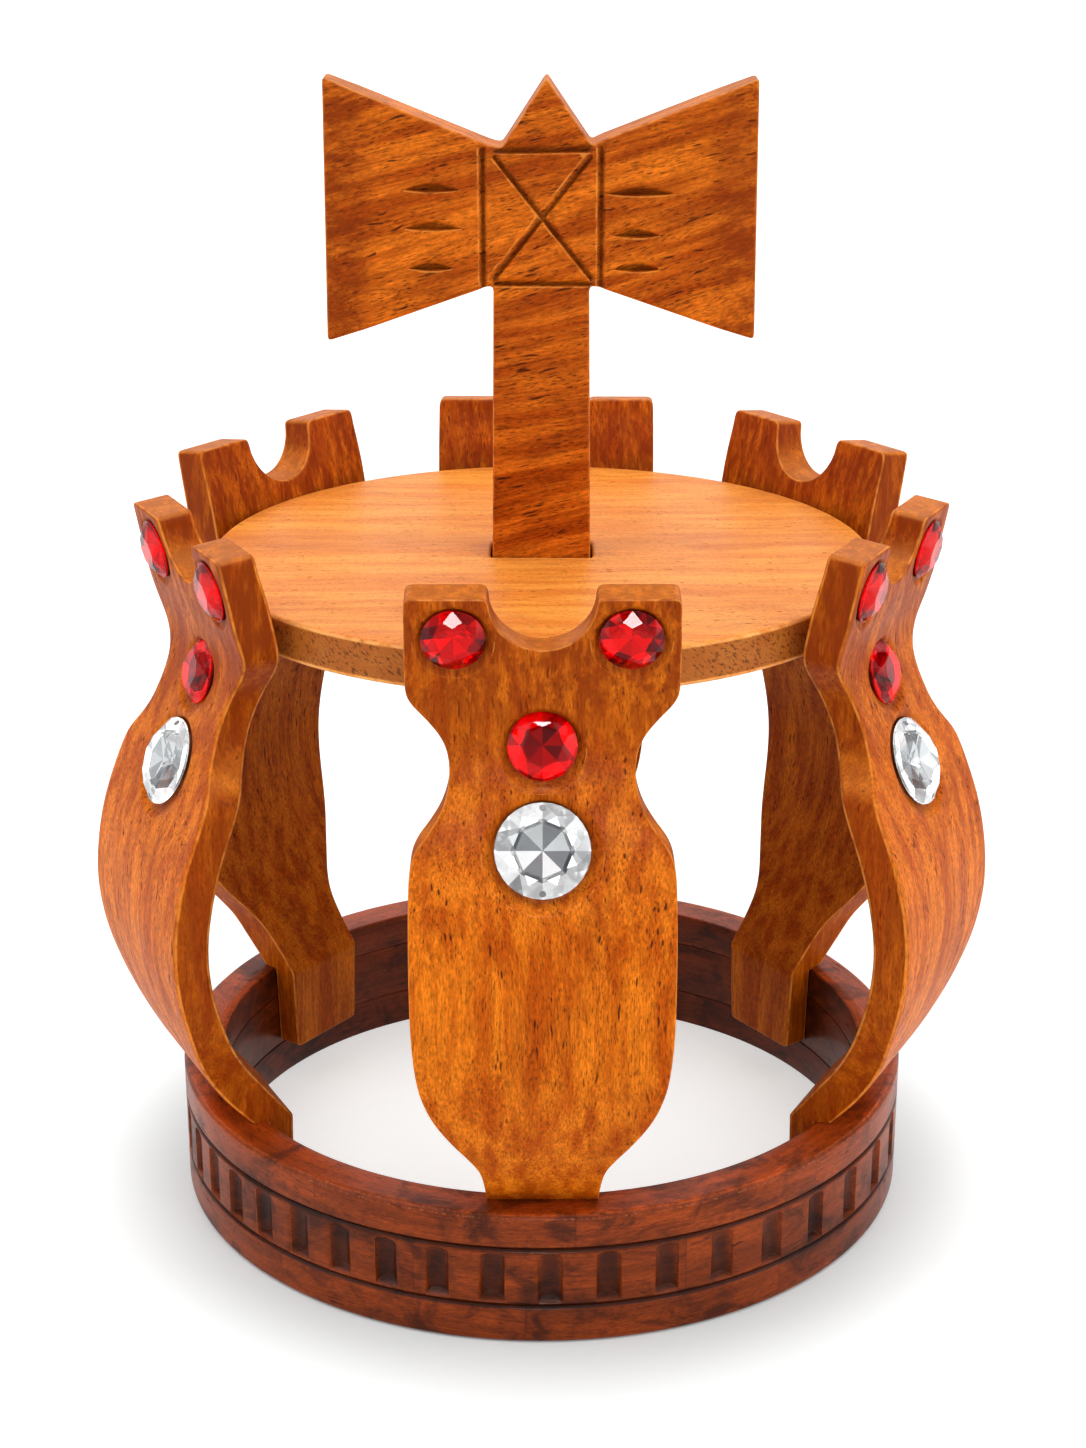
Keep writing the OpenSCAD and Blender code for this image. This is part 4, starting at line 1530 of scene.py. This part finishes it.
def glued_up_wood(made):
    """Makes a material the dark red wood of the headband, glued up from short pieces."""
    g, shader = open_shader(made)
    at = place_mm(g)
    x, y, z = (g.split(at, axis) for axis in "XYZ")
    layer = (z > JOINTS[0]) + (z > JOINTS[1])
    turn = g.math("ARCTAN2", y, x) / (2 * math.pi) * PIECES + layer * STAGGER + FIRST_PIECE
    piece = g.math("FLOOR", turn)
    share = g.math("FRACT", turn)
    length = 2 * math.pi * RING_R / PIECES
    chance = g.node("ShaderNodeTexWhiteNoise", {"noise_dimensions": "1D"}, {"W": piece + layer * 23})
    radius = g.math("SQRT", x * x + y * y)
    grain = g.join(radius + piece * 7, z + chance * 40, share * length + piece * 91)
    layers = wood_layers(g, grain, pores=0.12, pore_mm=0.7)
    layers["dirt"] = g.noise(g.vector("MULTIPLY", at, (0.06, 0.06, 0.09)), 1.0, 4.0, 0.65, 0.8) * 1.1
    colour = shade_wood(g, layers, MAHOGANY, strength=0.8, pore_strength=0.6, dirt_and_shade_share=0.8)
    # Painted light: the top face is painted brighter than the wall and the wall lighter towards its
    # top, and painted shade darkens the inside of the bore
    painted_top_face_light = g.step(z, RING_H - 0.6, RING_H - 0.1) * 0.5
    painted_bore_shade = g.step(radius, RING_INNER_R + 0.9, RING_INNER_R + 0.3) * 0.5
    painted_light_towards_top = g.step(z, RING_H * 0.3, RING_H * 0.9, 0.92, 1.12)
    colour = tinted(g, colour, (0.95 + chance * 0.12) * (1 + painted_top_face_light - painted_bore_shade) * painted_light_towards_top)
    end = g.math("MINIMUM", share, 1 - share) * length
    colour = g.mix(g.step(end, 0.3, 0.1) * 0.25, colour, MAHOGANY[3])
    # Painted shade: the grooves between the rings are darkened on the outer wall
    wall = g.step(radius, RING_R - 1.6, RING_R - 0.6)
    for joint in JOINTS:
        groove = g.step(g.math("ABSOLUTE", z - joint), 1.2, 0.5)
        colour = g.mix(groove * wall * 0.8, colour, MAHOGANY[3])
    # Painted highlight: a thin pale line along the top outer arris, broken by noise
    wear_and_highlight = g.step(stretched(g, at, 1.2, 1.2, 3.0, 0.8), 0.48, 0.66)
    crest_highlight = g.step(g.math("ABSOLUTE", z + radius - (RING_H + RING_R - 1.15)), 0.16, 0.05)
    colour = g.mix(crest_highlight * wear_and_highlight * 0.45, colour, PAINTED_CREST_HIGHLIGHT)
    # Pale worn flute rims, and painted shade in the flutes
    colour = wear_and_painted_light(g, colour, WORN_MAHOGANY, MAHOGANY[3], edge_share=0.5, dirt_and_shade_share=0.7)
    wax(g, shader, colour, layers, rough=0.32, shine=0.1, coat=0.06)


glued_up_wood(ring_wood)
print("nodes in the headband's wood:", len(ring_wood.node_tree.nodes))

# %% [markdown]
# Light enters the tinted acrylic, bounces off the foil and leaves by another facet. So the front is
# a shader with transmission, and the back is a polished metal whose facets differ in tone, partly as
# painted reflections, and which has a painted glow. A picture of facets on a flat disc would look
# the same from every side.

# %% Acrylic and foil
# The tint, bend and mirrored tint of the acrylic, the darkest and palest foil behind it, and the
# strength of the foil's painted glow, which stands in for light gathered from all sides. The central
# foil is at least so pale and varies so much, and the outer foil is at least so pale.
ACRYLIC = {
    "red": {
        "tint": (0.9, 0.01, 0.02), "bend": 1.3, "mirrored": (1.0, 0.7, 0.7),
        "darkest": (0.06, 0.0, 0.0), "palest": (1.0, 0.02, 0.03), "painted_glow": 0.26,
        "central_least": 0.0, "central_varies": 0.25, "outer_least": 0.12,
    },
    "clear": {
        "tint": (1.0, 1.0, 1.0), "bend": 1.49, "mirrored": (0.7, 0.7, 0.74),
        "darkest": (0.03, 0.034, 0.045), "palest": (1.0, 1.0, 1.0), "painted_glow": 0.4,
        "central_least": 0.08, "central_varies": 0.42, "outer_least": 0.24,
    },
}
# Painted reflection: on the small stones on the ears the foil is painted paler in the middle and
# darker at the rim
EAR_CENTRAL = 0.45
EAR_OUTER = 0.1
OUTER_VARIES = 0.88
# The plugs' dark colour, a painted shade
PAINTED_HOLE_SHADE = (0.16, 0.16, 0.17, 1.0)


def tint_acrylic(made, look):
    """Makes a material the clear front of a stone."""
    g, shader = open_shader(made)
    g.feed(shader, {
        "Base Color": (*look["tint"], 1.0), "Roughness": 0.0, "Transmission Weight": 1.0,
        "IOR": look["bend"], "Specular Tint": (*look["mirrored"], 1.0)})


def mirror_foil(made, look):
    """Makes a material the foil behind a stone, in a tone for each facet, with painted reflections
    in the tones and a painted glow.
    """
    g, shader = open_shader(made)
    central = mark(g, "central")
    ear = mark(g, "shade")
    tone = g.step(mark(g, "tone"), 0.1, 0.9)
    # Painted reflection: the shade mark is 1 on the ear stones, whose foil middle is painted paler
    inner = central * (look["central_least"] + ear * EAR_CENTRAL + tone * look["central_varies"])
    outer = (1 - central) * (look["outer_least"] + tone * OUTER_VARIES - ear * EAR_OUTER)
    colour = g.mix(g.clamp(inner + outer), look["darkest"], look["palest"])
    # Painted glow: the foil emits its own colour, less in the middle of the stones off the ears
    lit = tinted(g, colour, 1 - central * (1 - ear) * 0.8)
    g.feed(shader, {"Base Color": colour, "Roughness": 0.12, "Metallic": 1.0,
                    "Emission Color": lit, "Emission Strength": look["painted_glow"]})


for kind, look in ACRYLIC.items():
    front, foil = STONE_PARTS[kind]
    tint_acrylic(front, look)
    mirror_foil(foil, look)
    print(front.name, "bends light by", look["bend"])

g, shader = open_shader(painted_hole_shade)
g.feed(shader, {"Base Color": PAINTED_HOLE_SHADE, "Roughness": 0.5})

# %% [markdown]
# The rings and the stones have their materials from their trees. The boards were made as plain
# meshes without a material slot, so each gets its wood in a slot of its own.

# %% Dress the boards
for board, wood in [*((arm, arm_wood) for arm in arms.values()), (axe, axe_wood), (top_board, board_wood)]:
    board.data.materials.append(wood)
for piece in (*arms.values(), axe, top_board, *rings.values(), *stones.values(), holes):
    print(piece.name, [slot.name for slot in piece.data.materials])

# %% [markdown]
# ## Hand the pieces to the model
#
# Nothing on the crown moves: the board and the ring hold the arms, and the post is fast in its
# mortise. So every finished piece rides on the root body and stands in for the plain solids that it
# finishes. The red stones are one mesh and the clear ones another, because one tree set them, and
# each stands in for all of its solids.

# %% Ride and stand in
def hand_over(piece, slot, *nodes):
    """Lets a piece ride on the crown's one body and stand in for some of its solids."""
    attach(piece, "root")
    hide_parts(*nodes)


def stone_nodes_of(kind):
    """The names of the solids that are stones of one kind."""
    names = [row[0] for row in STONES if (row[0] == "clear_stone") == (kind == "clear")]
    return [f"{arm}_{name}" for arm in ARMS for name in names]


for name, piece in arms.items():
    hand_over(piece, "arm_wood", f"arm_{name}")
for name, piece in rings.items():
    hand_over(piece, "headband_wood", name)
hand_over(top_board, "board_wood", "top_board")
hand_over(axe, "axe_wood", "double_axe")
for kind, piece in stones.items():
    hand_over(piece, f"{kind}_stone", *stone_nodes_of(kind))
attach(holes, "root")

# %% [markdown]
# ## Stage
#
# The photograph shows a white table and large soft lights, seen from a little above the axe. The
# floor is a matt surface that glows as a light table does, but its glow is painted light: brighter
# inside the ring, dimmer in a band round it as a painted shadow, and brighter far away.

# %% Floor
# The painted shadow in the floor's glow ends this far outside the ring, in millimetres, and the
# glow has a little less red
PAINTED_SHADOW_W = 34
GLOW_RED = 0.94

floor = make_object("floor", np.array([(-8, -6, 0), (8, -6, 0), (8, 14, 0), (-8, 14, 0)]), [(0, 1, 2, 3)])
lit_floor = bpy.data.materials.new("lit_floor")
g, shader = open_shader(lit_floor)
away = g.vector("LENGTH", place_mm(g), output="Value")
# Painted light: the glow is brightest inside the ring, a painted pool of light, drops at the ring and climbs
# back over a band outside it, a painted shadow, and rises far away to whiten the floor
painted_glow = g.step(away, RING_INNER_R, RING_R, 0.52, 0.05) + g.step(away, RING_R, RING_R + PAINTED_SHADOW_W, 0.0, 0.2)
painted_glow = painted_glow + g.step(away, 1000.0, 6000.0, 0.0, 0.75)
g.feed(shader, {"Base Color": (0.71, 0.745, 0.75, 1.0), "Roughness": 0.9, "Specular IOR Level": 0.2,
                "Emission Color": g.join(painted_glow * GLOW_RED, painted_glow, painted_glow), "Emission Strength": 1.0})
floor.data.materials.append(lit_floor)
print("floor:", tuple(round(size, 1) for size in floor.dimensions), "metres")

# %% [markdown]
# The room is a white wall up to some height. Above it, dark corners and pale panels give the stones
# something to mirror. A plain white room would leave them flat.

# %% Room
scene = bpy.context.scene
scene.view_settings.view_transform = "Standard"
room = bpy.data.worlds.new("studio")
scene.world = room
room.use_nodes = True
g = Graph(room.node_tree)
direction = g.node("ShaderNodeTexCoord", None, None, "Generated")
panels = g.step(g.noise(direction, 1.7, 1.0), 0.42, 0.58, 0.04, 0.75)
wall = g.step(g.split(direction, "Z"), 0.36, 0.2)
g.feed(room.node_tree.nodes["Background"], {"Color": grey(g, panels + (1 - panels) * wall), "Strength": 1.0})
print("room:", len(room.node_tree.nodes), "nodes")

# %% [markdown]
# The lamps are large and dim, so that their shadows are soft. Two small ones are seen by polished
# faces alone, so they draw glints and no shadows.

# %% Lamps
# Name, place, what it points at, width, height, power
SOFT_LAMPS = [
    ("ceiling", (0.0, 2.0, 3.0), (0, 2.0, 0.0), 7.0, 8.0, 305),
    ("left_panel", (-2.1, -0.5, 0.9), (0, 0, 0.15), 1.4, 1.4, 8),
    ("right_panel", (2.1, -0.5, 0.9), (0, 0, 0.15), 1.4, 1.4, 13),
    ("left_box", (-1.3, -1.8, 1.0), (0, 0, 0.15), 0.6, 0.8, 3),
    ("right_box", (1.3, -1.8, 1.0), (0, 0, 0.15), 0.6, 0.8, 6),
]
GLINT_LAMPS = [
    ("top_glint", (-0.06, -0.43, 2.4), (0, -0.1, 0.17), 0.5, 0.5, 60),
    ("front_glint", (0.0, -2.0, 1.28), (0, -0.1, 0.2), 0.4, 0.2, 15),
]


def add_lamp(name, place, aim, width, height, power):
    """A rectangular lamp that points at a place."""
    data = bpy.data.lights.new(name, "AREA")
    data.shape = "RECTANGLE"
    data.size = width
    data.size_y = height
    data.energy = power
    lamp = bpy.data.objects.new(name, data)
    lamp.location = place
    lamp.rotation_euler = (Vector(aim) - Vector(place)).to_track_quat("-Z", "Y").to_euler()
    bpy.context.collection.objects.link(lamp)
    return lamp


for row in SOFT_LAMPS:
    add_lamp(*row)
for row in GLINT_LAMPS:
    glint = add_lamp(*row)
    glint.visible_diffuse = False
    glint.visible_transmission = False
print("lamps:", len(SOFT_LAMPS) + len(GLINT_LAMPS))

# %% [markdown]
# The camera is the one that the crown's proportions were solved with. Its lens is worked out from a
# focal length in pixels, because that is what such a fit gives.

# %% Camera
FOCAL_PX = 2585.5
PICTURE_H = 1448
SENSOR = 36.0
PITCH = math.radians(20.287)
YAW = math.radians(-0.343)

camera_data = bpy.data.cameras.new("camera")
camera_data.sensor_width = SENSOR
camera_data.lens = FOCAL_PX / PICTURE_H * SENSOR
camera = bpy.data.objects.new("camera", camera_data)
bpy.context.collection.objects.link(camera)
forward = Vector((math.sin(YAW) * math.cos(PITCH), math.cos(YAW) * math.cos(PITCH), -math.sin(PITCH)))
camera.location = (0.00472, -0.71978, 0.40753)
camera.rotation_euler = forward.to_track_quat("-Z", "Y").to_euler()
scene.camera = camera
print("lens:", round(camera_data.lens, 2), "mm")
